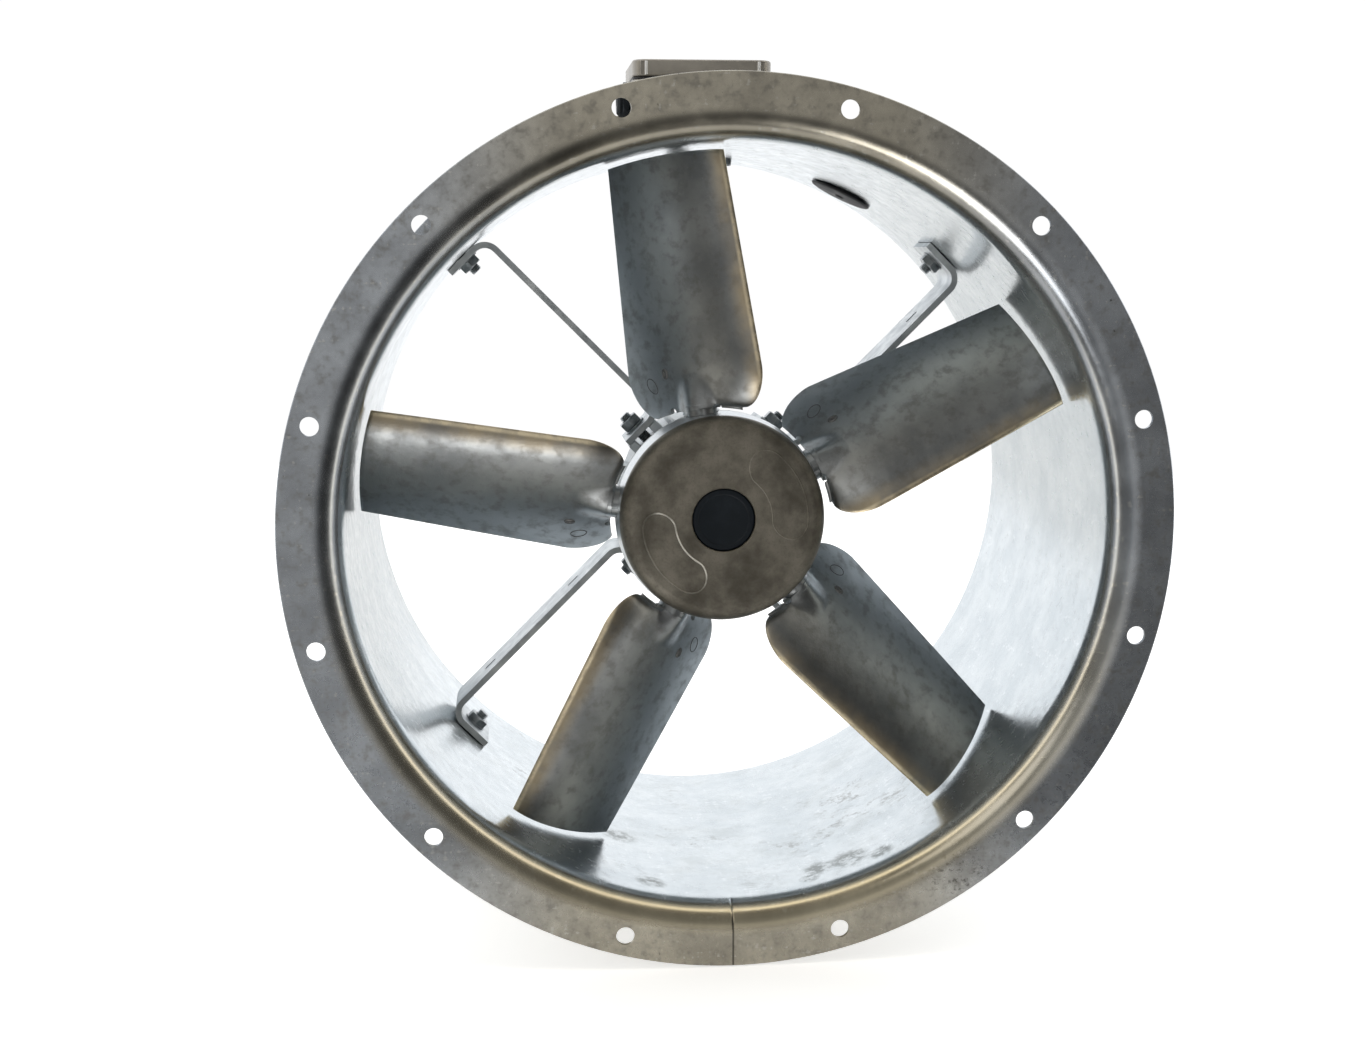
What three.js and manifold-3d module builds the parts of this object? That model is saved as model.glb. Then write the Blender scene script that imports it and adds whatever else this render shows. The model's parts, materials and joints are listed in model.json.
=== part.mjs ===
// An inline (axial) duct fan: a flanged steel casing, a five-bladed impeller on the shaft of a
// motor held by four bent arms, and a terminal box on top.
//
// Millimetres. The origin is the centre of the inlet flange's front face. +Y runs down the fan's
// axis with the air, +Z is up and +X is to the right of someone looking into the inlet.
// Angles round the axis are clockwise from the top for that person, in degrees. A piece that
// stands on a spoke is built with x across the spoke, y along the fan's axis and z outwards.

import * as THREE from 'three';
import { mergeVertices } from 'three/addons/utils/BufferGeometryUtils.js';
import Module from 'manifold-3d';

const wasm = await Module();
wasm.setup();

// ---- driving dimensions ----

const GAP = 0.3; // between pieces that touch

// sides of round things
const CASING_SIDES = 60;
const HUB_SIDES = 30;
const MOTOR_SIDES = 24;
const SMALL_SIDES = 16;
const STEM_SIDES = 12;
const HOLE_SIDES = 8;

// casing
const DUCT_RADIUS = 225;
const SHEET = 2.5;
const CASING_LENGTH = 290;
const ROLL_RADIUS = 18; // the inside of the bend from the duct wall to the flange
const FLANGE_RADIUS = 262.5;
const FLANGE_HOLE_CIRCLE_RADIUS = 250;
const FLANGE_HOLES = 12;
const FLANGE_HOLE_RADIUS = 5.5;
const FIRST_FLANGE_HOLE_ANGLE = 15;
const PLUG_ANGLE = 26;
const PLUG_DEPTH = 213;
const PLUG_HOLE_RADIUS = 19;
const PLUG_FLANGE_RADIUS = 22;

// impeller
const BLADES = 5;
const FIRST_BLADE_ANGLE = -10;
const STEM_DEPTH = 80; // the plane of the blade stems, where the hub splits
const STEM_RADIUS = 10;
const COLLAR_RADIUS = 15;
const COLLAR_FROM = 41;
const COLLAR_TO = 47;
const FAIRING_FROM = 68;
const FAIRING_TO = 104;
const HUB_RADIUS = 65; // at the split, from which the rim tapers to the faces
const HUB_FACE_RIM_RADIUS = 63.1;
const HUB_HALF_THICKNESS = 25.5;
const HUB_EDGE_RADIUS = 8.6;
const HUB_BORE_RADIUS = 19.5;
const HUB_BOLT_CIRCLE_RADIUS = 46;

// blade, given by radius from the fan's axis
const BLADE_ROOT_RADIUS = 67.5;
const BLADE_TIP_RADIUS = 222.4;
const BLADE_CHORD_DEPTH = 85; // where the chord crosses the spoke
const BLADE_PITCH_AT_ROOT = 41.5;
const BLADE_PITCH_AT_TIP = 34;
const BLADE_TWIST_START_RADIUS = 105;
const LEAD_WIDTH = 37.5; // from the spoke to the leading edge, across the spoke
const LEAD_ROOT_WIDTH = 23;
const LEAD_SHOULDER_RADIUS = 97;
const TRAIL_WIDTH = 38.1; // the same to the trailing edge, at its shoulder
const TRAIL_TIP_WIDTH = 28.7;
const TRAIL_ROOT_WIDTH = 21.2;
const TRAIL_SHOULDER_RADIUS = 98;
const SHOULDER_POWER = 1.7; // 2 would round the shoulders as ellipses
const BLADE_CAMBER = 0.055; // of the chord
const BLADE_THICKNESS = 0.075; // of the chord
const BLADE_EDGE_THICKNESS = 1.4; // the trailing edge
const BLADE_STATIONS = [67.5, 70, 76, 85, 98, 135, 180, 222.4];
const BLADE_SECTION_STEPS = 7;

// shaft line
const SHAFT_RADIUS = 9.5;
const SHAFT_SEAT_RADIUS = 10;
const SHAFT_CORE_RADIUS = 12;
const SHAFT_FRONT = 70;
const KEY_WIDTH = 6;
const KEY_FRONT = 73;
const KEY_BACK = 104;
const KEY_BOTTOM = 6.5;
const KEY_TOP = 12.3;
const BUSH_FRONT = 68.3;
const BUSH_BACK = 112;
const BUSH_FLANGE_RADIUS = 27;
const WASHER_FRONT = 65.6;

// motor
const MOTOR_MIDDLE = 182;
const MOTOR_FRAME_LENGTH = 88;
const MOTOR_FRAME_BORE = 47;
const MOTOR_FRAME_RADIUS = 52.5;
const MOTOR_FIN_RADIUS = 57.5;
const MOTOR_FIN_THICKNESS = 3;
const MOTOR_FIN_SPACING = 12; // degrees
const MOTOR_PAD_RADIUS = 60;
const MOTOR_NOSE_LENGTH = 65; // from the motor's middle to the front of its drive end
const STATOR_LENGTH = 60;
const STATOR_RADIUS = 46.7;
const STATOR_BORE = 33.6;
const STATOR_SLOTS = 12;
const ROTOR_RADIUS = 33;
const BEARING_OFFSET = 54; // from the motor's middle to the middle of each bearing
const BEARING_WIDTH = 14;
const BALLS = 7;
const BALL_RADIUS = 3.1;
const BALL_CIRCLE_RADIUS = 16.75;

// support arms, on spokes that pass through their bolts
const ARM_ANGLES = [-45, 45, 135, -135];
const ARM_WIDTH = 40;
const ARM_THICKNESS = 4;
const ARM_BEND_RADIUS = 8; // inside
const ARM_WEB_OFFSET = 18.7; // from the bolts' spoke to the middle of the web
const ARM_OUTER_FACE = 224.3;
const ARM_INNER_FACE = 60.3;
const ARM_OUTER_FOOT_REACH = 13; // past the bolts' spoke
const ARM_INNER_FOOT_REACH = 11;
const ARM_SLOTS_AT = [104, 184]; // radii of the cable-tie slots in the web
const BOLT_RADIUS = 4;
const BOLT_HOLE_RADIUS = 4.5;
const NUT_ACROSS_FLATS = 13;
const NUT_HEIGHT = 6.2;

// terminal box, centred on top of the casing
const BOX_WIDTH = 92;
const BOX_FRONT = 182;
const BOX_BACK = 266;
const BOX_CORNER_RADIUS = 9;
const BOX_WALL = 2.5;
const BOX_BOTTOM = 223;
const BOX_FLOOR = 231.5;
const BOX_BASE_TOP = 273.6;
const BOX_GASKET_TOP = 275.4;
const BOX_LID_TOP = 286.6;
const BOX_SCREW_INSET = 7.5;
const BOX_SCREW_RADIUS = 1.6;
const GLAND_DEPTH = 206;
const GLAND_HEIGHT = 261;
const GLAND_THREAD_RADIUS = 8;

// motor lead
const LEAD_ANGLE = -3.5;
const LEAD_DEPTH = 205;
const LEAD_RADIUS = 4.2;
const LEAD_START = 66;
const LEAD_END = 243;
const GROMMET_HOLE_RADIUS = 8;

// ---- geometry helpers ----

const radians = (degrees) => THREE.MathUtils.degToRad(degrees);

// An arc as [x, y] points, its ends included.
function arc(centreX, centreY, radius, fromDegrees, toDegrees, steps) {
  const points = [];
  for (let i = 0; i <= steps; i++) {
    const angle = radians(fromDegrees + ((toDegrees - fromDegrees) * i) / steps);
    points.push([centreX + radius * Math.cos(angle), centreY + radius * Math.sin(angle)]);
  }
  return points;
}

// Turns a closed [radius, y] profile about the Y axis; the profile may run either way round.
function turned(profile, segments) {
  const onAxis = profile[0][0] === 0;
  let area = 0;
  profile.forEach(([r, y], i) => {
    const [nextR, nextY] = profile[(i + 1) % profile.length];
    area += r * nextY - nextR * y;
  });
  const points = area > 0 ? [...profile] : [...profile].reverse();
  if (!onAxis) points.push(points[0]);
  return new THREE.LatheGeometry(points.map(([r, y]) => new THREE.Vector2(r, y)), segments);
}

function cylinder(radius, from, to, sides) {
  return new THREE.CylinderGeometry(radius, radius, to - from, sides).translate(0, (from + to) / 2, 0);
}

function cone(fromRadius, toRadius, from, to, sides) {
  const geometry = new THREE.CylinderGeometry(toRadius, fromRadius, to - from, sides);
  return geometry.translate(0, (from + to) / 2, 0);
}

function ring(innerRadius, outerRadius, from, to, segments) {
  return turned([[innerRadius, from], [outerRadius, from], [outerRadius, to], [innerRadius, to]], segments);
}

function hexagon(acrossFlats, from, to) {
  return cylinder(acrossFlats / Math.sqrt(3), from, to, 6);
}

function box(x, y, z) {
  const geometry = new THREE.BoxGeometry(x[1] - x[0], y[1] - y[0], z[1] - z[0]);
  return geometry.translate((x[0] + x[1]) / 2, (y[0] + y[1]) / 2, (z[0] + z[1]) / 2);
}

// Lays something built along Y out along a spoke, at a place across it and a depth.
const alongSpoke = (geometry, across, depth) =>
  geometry.rotateX(Math.PI / 2).translate(across, depth, 0);

// Lays something built along Y along X.
const alongX = (geometry, y, z) => geometry.rotateZ(-Math.PI / 2).translate(0, y, z);

// Turns something built on the top spoke to a spoke at another angle.
const toSpoke = (geometry, degrees) => geometry.rotateY(radians(degrees));

function solid(geometry) {
  const bare = geometry.clone();
  bare.deleteAttribute('normal');
  bare.deleteAttribute('uv');
  const merged = mergeVertices(bare, 1e-3);
  const mesh = new wasm.Mesh({
    numProp: 3,
    vertProperties: new Float32Array(merged.attributes.position.array),
    triVerts: new Uint32Array(merged.index.array),
  });
  return new wasm.Manifold(mesh);
}

function geometryOf(manifold) {
  const mesh = manifold.getMesh();
  const geometry = new THREE.BufferGeometry();
  geometry.setAttribute('position', new THREE.BufferAttribute(mesh.vertProperties, mesh.numProp));
  geometry.setIndex(new THREE.BufferAttribute(mesh.triVerts, 1));
  geometry.computeVertexNormals();
  return geometry;
}

const joined = (first, ...others) =>
  geometryOf(others.reduce((sum, other) => sum.add(solid(other)), solid(first)));

const cut = (first, ...tools) =>
  geometryOf(tools.reduce((rest, tool) => rest.subtract(solid(tool)), solid(first)));

// ---- materials and the scene graph ----

function material(colour, roughness, metalness) {
  return new THREE.MeshStandardMaterial({ color: colour, roughness, metalness });
}

const GALVANISED = material(0xc3cad0, 0.45, 0.7);
const BLADE_ALUMINIUM = material(0x6a6e72, 0.5, 0.8);
const HUB_ALUMINIUM = material(0x6b6258, 0.6, 0.6);
const ZINC_STEEL = material(0x7c8285, 0.4, 0.9);
const SHAFT_STEEL = material(0x9a9da0, 0.3, 1);
const MOTOR_PAINT = material(0xcfd4d6, 0.5, 0.2);
const BLACK_PLASTIC = material(0x14191f, 0.5, 0);
const BLACK_RUBBER = material(0x1b1d20, 0.8, 0);
const BOX_METAL = material(0x8b857c, 0.5, 0.5);
const LAMINATION = material(0x5b5d60, 0.5, 0.8);
const WINDING = material(0xa5532a, 0.4, 0.6);
const CREAM_PLASTIC = material(0xd8d2bf, 0.5, 0);

const fan = new THREE.Group();

function add(name, geometry, meshMaterial, parent = fan) {
  const mesh = new THREE.Mesh(geometry, meshMaterial);
  mesh.name = name;
  parent.add(mesh);
}

function spoke(degrees) {
  const group = new THREE.Group();
  group.rotation.y = radians(degrees);
  fan.add(group);
  return group;
}

// ---- casing ----

// One end of the sheet's profile, from the flange's rim to the duct wall, on the face that is
// `inset` behind the outside of the flange.
function flangeProfile(inset) {
  const bend = ROLL_RADIUS - inset;
  const centre = DUCT_RADIUS + ROLL_RADIUS;
  return [[FLANGE_RADIUS, inset], ...arc(centre, ROLL_RADIUS, bend, 270, 180, 2)];
}

function casing() {
  const inside = flangeProfile(0);
  const outside = flangeProfile(SHEET);
  const atOutlet = (points) => points.map(([r, y]) => [r, CASING_LENGTH - y]);
  const profile = [
    ...inside,
    ...atOutlet(inside).reverse(),
    ...atOutlet(outside),
    ...[...outside].reverse(),
  ];
  const tools = [];
  for (let i = 0; i < FLANGE_HOLES; i++) {
    const hole = cylinder(FLANGE_HOLE_RADIUS, -1, CASING_LENGTH + 1, HOLE_SIDES);
    hole.translate(0, 0, FLANGE_HOLE_CIRCLE_RADIUS);
    tools.push(toSpoke(hole, FIRST_FLANGE_HOLE_ANGLE + (i * 360) / FLANGE_HOLES));
  }
  const wallHole = (radius, angle, depth, sides) => {
    const hole = cylinder(radius, DUCT_RADIUS - 8, DUCT_RADIUS + 8, sides);
    tools.push(toSpoke(alongSpoke(hole, 0, depth), angle));
  };
  ARM_ANGLES.forEach((angle) => wallHole(BOLT_HOLE_RADIUS, angle, MOTOR_MIDDLE, HOLE_SIDES));
  wallHole(GROMMET_HOLE_RADIUS, LEAD_ANGLE, LEAD_DEPTH, SMALL_SIDES);
  wallHole(PLUG_HOLE_RADIUS, PLUG_ANGLE, PLUG_DEPTH, SMALL_SIDES);
  return cut(turned(profile, CASING_SIDES), ...tools);
}

// A rubber plug snapped into the wall: a wide flange inside, a neck and a rim outside.
function blankingPlug() {
  const inside = DUCT_RADIUS - 1.6;
  const outside = DUCT_RADIUS + SHEET + GAP;
  const neck = PLUG_HOLE_RADIUS - 0.5;
  const profile = [
    [0, inside - 2.4],
    [3, inside - 2.4],
    [3.6, inside - 1.4],
    [PLUG_FLANGE_RADIUS - 2, inside - 1.6],
    [PLUG_FLANGE_RADIUS, inside],
    [neck, inside],
    [neck, outside],
    [neck + 2, outside + 0.6],
    [neck + 1, outside + 2.5],
    [neck - 2.5, outside + 2.5],
    [neck - 3, inside + 1.5],
    [0, inside + 1],
  ];
  return alongSpoke(turned(profile, SMALL_SIDES), 0, PLUG_DEPTH);
}

// ---- impeller ----

// How full the blade's outline is near its root, from 0 at the root corner to 1 at the shoulder.
function shoulder(radius, cornerRadius, shoulderRadius) {
  const left = THREE.MathUtils.clamp((shoulderRadius - radius) / (shoulderRadius - cornerRadius), 0, 1);
  return (1 - left ** SHOULDER_POWER) ** (1 / SHOULDER_POWER);
}

function bladeWidths(radius) {
  const leadCorner = BLADE_ROOT_RADIUS + 1.5;
  const leadFullness = shoulder(radius, leadCorner, LEAD_SHOULDER_RADIUS);
  const lead = THREE.MathUtils.lerp(LEAD_ROOT_WIDTH, LEAD_WIDTH, leadFullness);
  const trailFullness = shoulder(radius, BLADE_ROOT_RADIUS - 1.5, TRAIL_SHOULDER_RADIUS);
  const taper = THREE.MathUtils.clamp(
    (radius - TRAIL_SHOULDER_RADIUS) / (BLADE_TIP_RADIUS - TRAIL_SHOULDER_RADIUS), 0, 1);
  const full = THREE.MathUtils.lerp(TRAIL_WIDTH, TRAIL_TIP_WIDTH, taper);
  return { lead, trail: THREE.MathUtils.lerp(TRAIL_ROOT_WIDTH, full, trailFullness) };
}

// The aerofoil at one radius, as [across, depth] points: the front side from the leading edge
// to the trailing edge, and the back side from there to the leading edge.
function bladeSection(radius) {
  const twist = THREE.MathUtils.clamp(
    (radius - BLADE_TWIST_START_RADIUS) / (BLADE_TIP_RADIUS - BLADE_TWIST_START_RADIUS), 0, 1);
  const pitch = radians(THREE.MathUtils.lerp(BLADE_PITCH_AT_ROOT, BLADE_PITCH_AT_TIP, twist));
  const { lead, trail } = bladeWidths(radius);
  const chord = (lead + trail) / Math.cos(pitch);
  const at = (along, towardsFront) => [
    lead - along * Math.cos(pitch) - towardsFront * Math.sin(pitch),
    BLADE_CHORD_DEPTH - lead * Math.tan(pitch) + along * Math.sin(pitch) - towardsFront * Math.cos(pitch),
  ];
  const front = [];
  const back = [];
  for (let i = 0; i <= BLADE_SECTION_STEPS; i++) {
    const s = (1 - Math.cos((Math.PI * i) / BLADE_SECTION_STEPS)) / 2;
    const camber = 4 * BLADE_CAMBER * chord * s * (1 - s);
    const aerofoil = 0.2969 * Math.sqrt(s) - 0.126 * s - 0.3516 * s ** 2 + 0.2843 * s ** 3 - 0.1036 * s ** 4;
    const half = 5 * BLADE_THICKNESS * chord * aerofoil + (BLADE_EDGE_THICKNESS / 2) * s;
    front.push(at(s * chord, camber + half));
    if (i > 0) back.push(at(s * chord, camber - half));
  }
  return [...front, ...back.reverse()];
}

// Closes a stack of rings of points into one solid. Each ring runs from its first point down one
// side and back up the other, so that an end is a strip between the two sides.
function lofted(rings) {
  const size = rings[0].length;
  const lastRing = (rings.length - 1) * size;
  const indices = [];
  for (let start = 0; start < lastRing; start += size) {
    for (let i = 0; i < size; i++) {
      const a = start + i;
      const b = start + ((i + 1) % size);
      indices.push(a, a + size, b, b, a + size, b + size);
    }
  }
  for (let i = 0; i < (size - 1) / 2; i++) {
    const mate = size - i - 1;
    indices.push(i, i + 1, mate, lastRing + i, lastRing + mate, lastRing + i + 1);
    if (i === 0) continue;
    indices.push(i, mate, mate + 1, lastRing + i, lastRing + mate + 1, lastRing + mate);
  }
  const geometry = new THREE.BufferGeometry();
  geometry.setAttribute('position', new THREE.Float32BufferAttribute(rings.flat(2), 3));
  geometry.setIndex(indices);
  return geometry;
}

function blade() {
  const rings = BLADE_STATIONS.map((radius) =>
    bladeSection(radius).map(([x, y]) => [x, y, Math.sqrt(radius ** 2 - x ** 2)]));
  const onStem = (geometry) => alongSpoke(geometry, 0, STEM_DEPTH);
  return joined(
    lofted(rings),
    onStem(cylinder(STEM_RADIUS, COLLAR_FROM, FAIRING_FROM + 0.01, STEM_SIDES)),
    onStem(cylinder(COLLAR_RADIUS, COLLAR_FROM, COLLAR_TO, STEM_SIDES)),
    onStem(cone(STEM_RADIUS, 1.5, FAIRING_FROM, FAIRING_TO, STEM_SIDES)),
  );
}

// Half of the hub, from its face to the split. The rear half is the same, turned round.
function hubHalf() {
  const face = STEM_DEPTH - HUB_HALF_THICKNESS;
  const split = STEM_DEPTH - GAP / 2;
  const edgeCentre = HUB_FACE_RIM_RADIUS - HUB_EDGE_RADIUS;
  const profile = [
    [HUB_BORE_RADIUS, face],
    ...arc(edgeCentre, face + HUB_EDGE_RADIUS, HUB_EDGE_RADIUS, 270, 360, 3),
    [HUB_RADIUS, split],
    [HUB_BORE_RADIUS, split],
  ];
  const tools = [];
  for (let i = 0; i < BLADES; i++) {
    const angle = FIRST_BLADE_ANGLE + (i * 360) / BLADES;
    const socket = cylinder(STEM_RADIUS + 2 * GAP, 36, HUB_RADIUS + 5, STEM_SIDES);
    const pocket = cylinder(COLLAR_RADIUS + 2 * GAP, COLLAR_FROM - GAP, COLLAR_TO + GAP, STEM_SIDES);
    tools.push(toSpoke(alongSpoke(socket, 0, STEM_DEPTH), angle));
    tools.push(toSpoke(alongSpoke(pocket, 0, STEM_DEPTH), angle));
  }
  return { body: turned(profile, HUB_SIDES), tools };
}

function hubBoltHole(index, from, to) {
  const hole = cylinder(3.4, from, to, HOLE_SIDES).translate(0, 0, HUB_BOLT_CIRCLE_RADIUS);
  return toSpoke(hole, FIRST_BLADE_ANGLE + ((index + 0.5) * 360) / BLADES);
}

function hubFrontDisc() {
  const { body, tools } = hubHalf();
  for (let i = 0; i < BLADES; i++) tools.push(hubBoltHole(i, 64, STEM_DEPTH + 1));
  return cut(body, ...tools);
}

function hubRearDisc() {
  const { body, tools } = hubHalf();
  const turnedRound = body.rotateX(Math.PI).translate(0, 2 * STEM_DEPTH, 0);
  for (let i = 0; i < BLADES; i++) tools.push(hubBoltHole(i, STEM_DEPTH - 1, 2 * STEM_DEPTH));
  return cut(turnedRound, ...tools);
}

function hubBolt() {
  const head = STEM_DEPTH + HUB_HALF_THICKNESS + GAP;
  const bolt = joined(cylinder(3, 66, head + 1, HOLE_SIDES), hexagon(10, head, head + 4));
  return bolt.translate(0, 0, HUB_BOLT_CIRCLE_RADIUS);
}

function hubBush() {
  const flangeFront = STEM_DEPTH + HUB_HALF_THICKNESS + GAP;
  const profile = [
    [SHAFT_RADIUS + GAP, BUSH_FRONT],
    [HUB_BORE_RADIUS - GAP, BUSH_FRONT],
    [HUB_BORE_RADIUS - GAP, flangeFront],
    [BUSH_FLANGE_RADIUS, flangeFront],
    [BUSH_FLANGE_RADIUS, BUSH_BACK],
    [SHAFT_RADIUS + GAP, BUSH_BACK],
  ];
  const half = KEY_WIDTH / 2 + GAP;
  const keyway = box([-half, half], [BUSH_FRONT - 1, BUSH_BACK + 1], [0, KEY_TOP + GAP]);
  return cut(turned(profile, SMALL_SIDES), keyway);
}

function hubCentreCap() {
  const face = STEM_DEPTH - HUB_HALF_THICKNESS + 1.5;
  const rim = HUB_BORE_RADIUS - GAP;
  return turned([
    [0, face],
    [rim - 1.2, face],
    [rim, face + 1.2],
    [rim, face + 6],
    [rim - 1.8, face + 6],
    [rim - 1.8, face + 2.5],
    [0, face + 2.5],
  ], SMALL_SIDES);
}

function retainingScrew() {
  const headBack = WASHER_FRONT - GAP;
  const shank = cylinder(BOLT_RADIUS, headBack - 1, 86, HOLE_SIDES);
  return joined(hexagon(NUT_ACROSS_FLATS, headBack - 4.2, headBack), shank);
}

// ---- shaft line ----

function shaft() {
  const shoulderFront = MOTOR_MIDDLE - BEARING_OFFSET + BEARING_WIDTH / 2 + GAP;
  const shoulderBack = 2 * MOTOR_MIDDLE - shoulderFront;
  const seatFront = MOTOR_MIDDLE - BEARING_OFFSET - BEARING_WIDTH / 2 - 3;
  const profile = [
    [0, SHAFT_FRONT],
    [SHAFT_RADIUS, SHAFT_FRONT],
    [SHAFT_RADIUS, seatFront],
    [SHAFT_SEAT_RADIUS, seatFront],
    [SHAFT_SEAT_RADIUS, shoulderFront],
    [SHAFT_CORE_RADIUS, shoulderFront],
    [SHAFT_CORE_RADIUS, shoulderBack],
    [SHAFT_SEAT_RADIUS, shoulderBack],
    [SHAFT_SEAT_RADIUS, shoulderBack + BEARING_WIDTH],
    [0, shoulderBack + BEARING_WIDTH],
  ];
  const half = KEY_WIDTH / 2 + GAP;
  const keySlot = box([-half, half], [KEY_FRONT - GAP, KEY_BACK + GAP], [KEY_BOTTOM - GAP, 20]);
  const screwHole = cylinder(BOLT_RADIUS + GAP, SHAFT_FRONT - 1, 88, HOLE_SIDES);
  return cut(turned(profile, SMALL_SIDES), screwHole, keySlot);
}

function ballCage() {
  const half = 2;
  const balls = [];
  for (let i = 0; i < BALLS; i++) {
    const ball = new THREE.SphereGeometry(BALL_RADIUS, 6, 4).translate(0, 0, BALL_CIRCLE_RADIUS);
    balls.push(toSpoke(ball, (i * 360) / BALLS));
  }
  return joined(ring(BALL_CIRCLE_RADIUS - 1, BALL_CIRCLE_RADIUS + 1, -half, half, 14), ...balls);
}

function bearings() {
  const ends = { front: MOTOR_MIDDLE - BEARING_OFFSET, rear: MOTOR_MIDDLE + BEARING_OFFSET };
  for (const [end, middle] of Object.entries(ends)) {
    const from = middle - BEARING_WIDTH / 2;
    const to = middle + BEARING_WIDTH / 2;
    add('bearing_outer_ring_' + end, ring(20.6, 23.5, from, to, SMALL_SIDES), SHAFT_STEEL);
    add('bearing_inner_ring_' + end, ring(SHAFT_SEAT_RADIUS + GAP, 13.2, from, to, SMALL_SIDES), SHAFT_STEEL);
    add('bearing_ball_cage_' + end, ballCage().translate(0, middle, 0), SHAFT_STEEL);
  }
}

// ---- motor ----

// The finned tube, with a pair of rails and a stud for each support arm and a lead boss on top.
function motorFrame() {
  const front = MOTOR_MIDDLE - MOTOR_FRAME_LENGTH / 2;
  const back = MOTOR_MIDDLE + MOTOR_FRAME_LENGTH / 2;
  const armFront = MOTOR_MIDDLE - ARM_WIDTH / 2;
  const armBack = MOTOR_MIDDLE + ARM_WIDTH / 2;
  const inRoot = MOTOR_FRAME_RADIUS - 2.5;
  const additions = [];
  for (const angle of ARM_ANGLES) {
    for (const rail of [[-12, -6.5], [6.5, 13]]) {
      additions.push(toSpoke(box(rail, [armFront, armBack], [inRoot - 2, MOTOR_PAD_RADIUS]), angle));
    }
    const stud = cylinder(BOLT_RADIUS, inRoot, ARM_INNER_FACE + ARM_THICKNESS + 11, HOLE_SIDES);
    additions.push(toSpoke(alongSpoke(stud, 0, MOTOR_MIDDLE), angle));
  }
  for (let angle = 0; angle < 360; angle += MOTOR_FIN_SPACING) {
    const fromPad = Math.min(...ARM_ANGLES.map((pad) => Math.abs(((angle - pad + 540) % 360) - 180)));
    const fromLead = Math.abs(((angle - LEAD_ANGLE + 540) % 360) - 180);
    if (fromPad < 20 || fromLead < 14) continue;
    const half = MOTOR_FIN_THICKNESS / 2;
    const fin = box([-half, half], [front + 4, back - 4], [inRoot, MOTOR_FIN_RADIUS]);
    additions.push(toSpoke(fin, angle));
  }
  const boss = cylinder(8, inRoot, LEAD_START - GAP, STEM_SIDES);
  additions.push(toSpoke(alongSpoke(boss, 0, LEAD_DEPTH), LEAD_ANGLE));
  return joined(ring(MOTOR_FRAME_BORE, MOTOR_FRAME_RADIUS, front, back, MOTOR_SIDES), ...additions);
}

// An end shield for the drive end, measured back from the motor's middle; the rear one is closed.
function endShieldProfile(holeRadius) {
  const nose = MOTOR_NOSE_LENGTH;
  const joint = MOTOR_FRAME_LENGTH / 2 + GAP;
  const housing = 23.5 + GAP;
  const pocketFront = BEARING_OFFSET + BEARING_WIDTH / 2 + GAP;
  const pocketBack = BEARING_OFFSET - BEARING_WIDTH / 2 - GAP;
  return [
    [holeRadius, nose],
    [25, nose],
    [28, nose - 2],
    [31, nose - 11],
    [50, nose - 14],
    [MOTOR_FRAME_RADIUS, nose - 16.5],
    [MOTOR_FRAME_RADIUS, joint],
    [MOTOR_FRAME_BORE - GAP, joint],
    [MOTOR_FRAME_BORE - GAP, joint - 5],
    [43.5, joint - 5],
    [43.5, joint],
    [30, pocketBack],
    [housing, pocketBack],
    [housing, pocketFront],
    [holeRadius, pocketFront],
  ];
}

function driveEndShield() {
  const profile = endShieldProfile(SHAFT_SEAT_RADIUS + GAP).map(([r, y]) => [r, MOTOR_MIDDLE - y]);
  return turned(profile, MOTOR_SIDES);
}

function rearEndShield() {
  const profile = endShieldProfile(0).map(([r, y]) => [r, MOTOR_MIDDLE + y]);
  return turned(profile, MOTOR_SIDES);
}

function statorSlots(across, from, to, front, back) {
  const slots = [];
  for (let i = 0; i < STATOR_SLOTS; i++) {
    slots.push(toSpoke(box([-across / 2, across / 2], [front, back], [from, to]), (i * 360) / STATOR_SLOTS));
  }
  return slots;
}

function statorCore() {
  const front = MOTOR_MIDDLE - STATOR_LENGTH / 2;
  const back = MOTOR_MIDDLE + STATOR_LENGTH / 2;
  const body = ring(STATOR_BORE, STATOR_RADIUS, front, back, MOTOR_SIDES);
  return cut(body, ...statorSlots(7, 36, 42.5, front - 1, back + 1));
}

// The coils: a ring of end turns at each end of the stator, joined through its slots.
function statorWinding() {
  const front = MOTOR_MIDDLE - STATOR_LENGTH / 2;
  const back = MOTOR_MIDDLE + STATOR_LENGTH / 2;
  const endTurns = [
    ring(35, 42.8, front - 10, front - GAP, MOTOR_SIDES),
    ring(35, 42.8, back + GAP, back + 10, MOTOR_SIDES),
  ];
  return joined(...endTurns, ...statorSlots(6, 36.5, 42, front - 2, back + 2));
}

// ---- support arms ----

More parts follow.
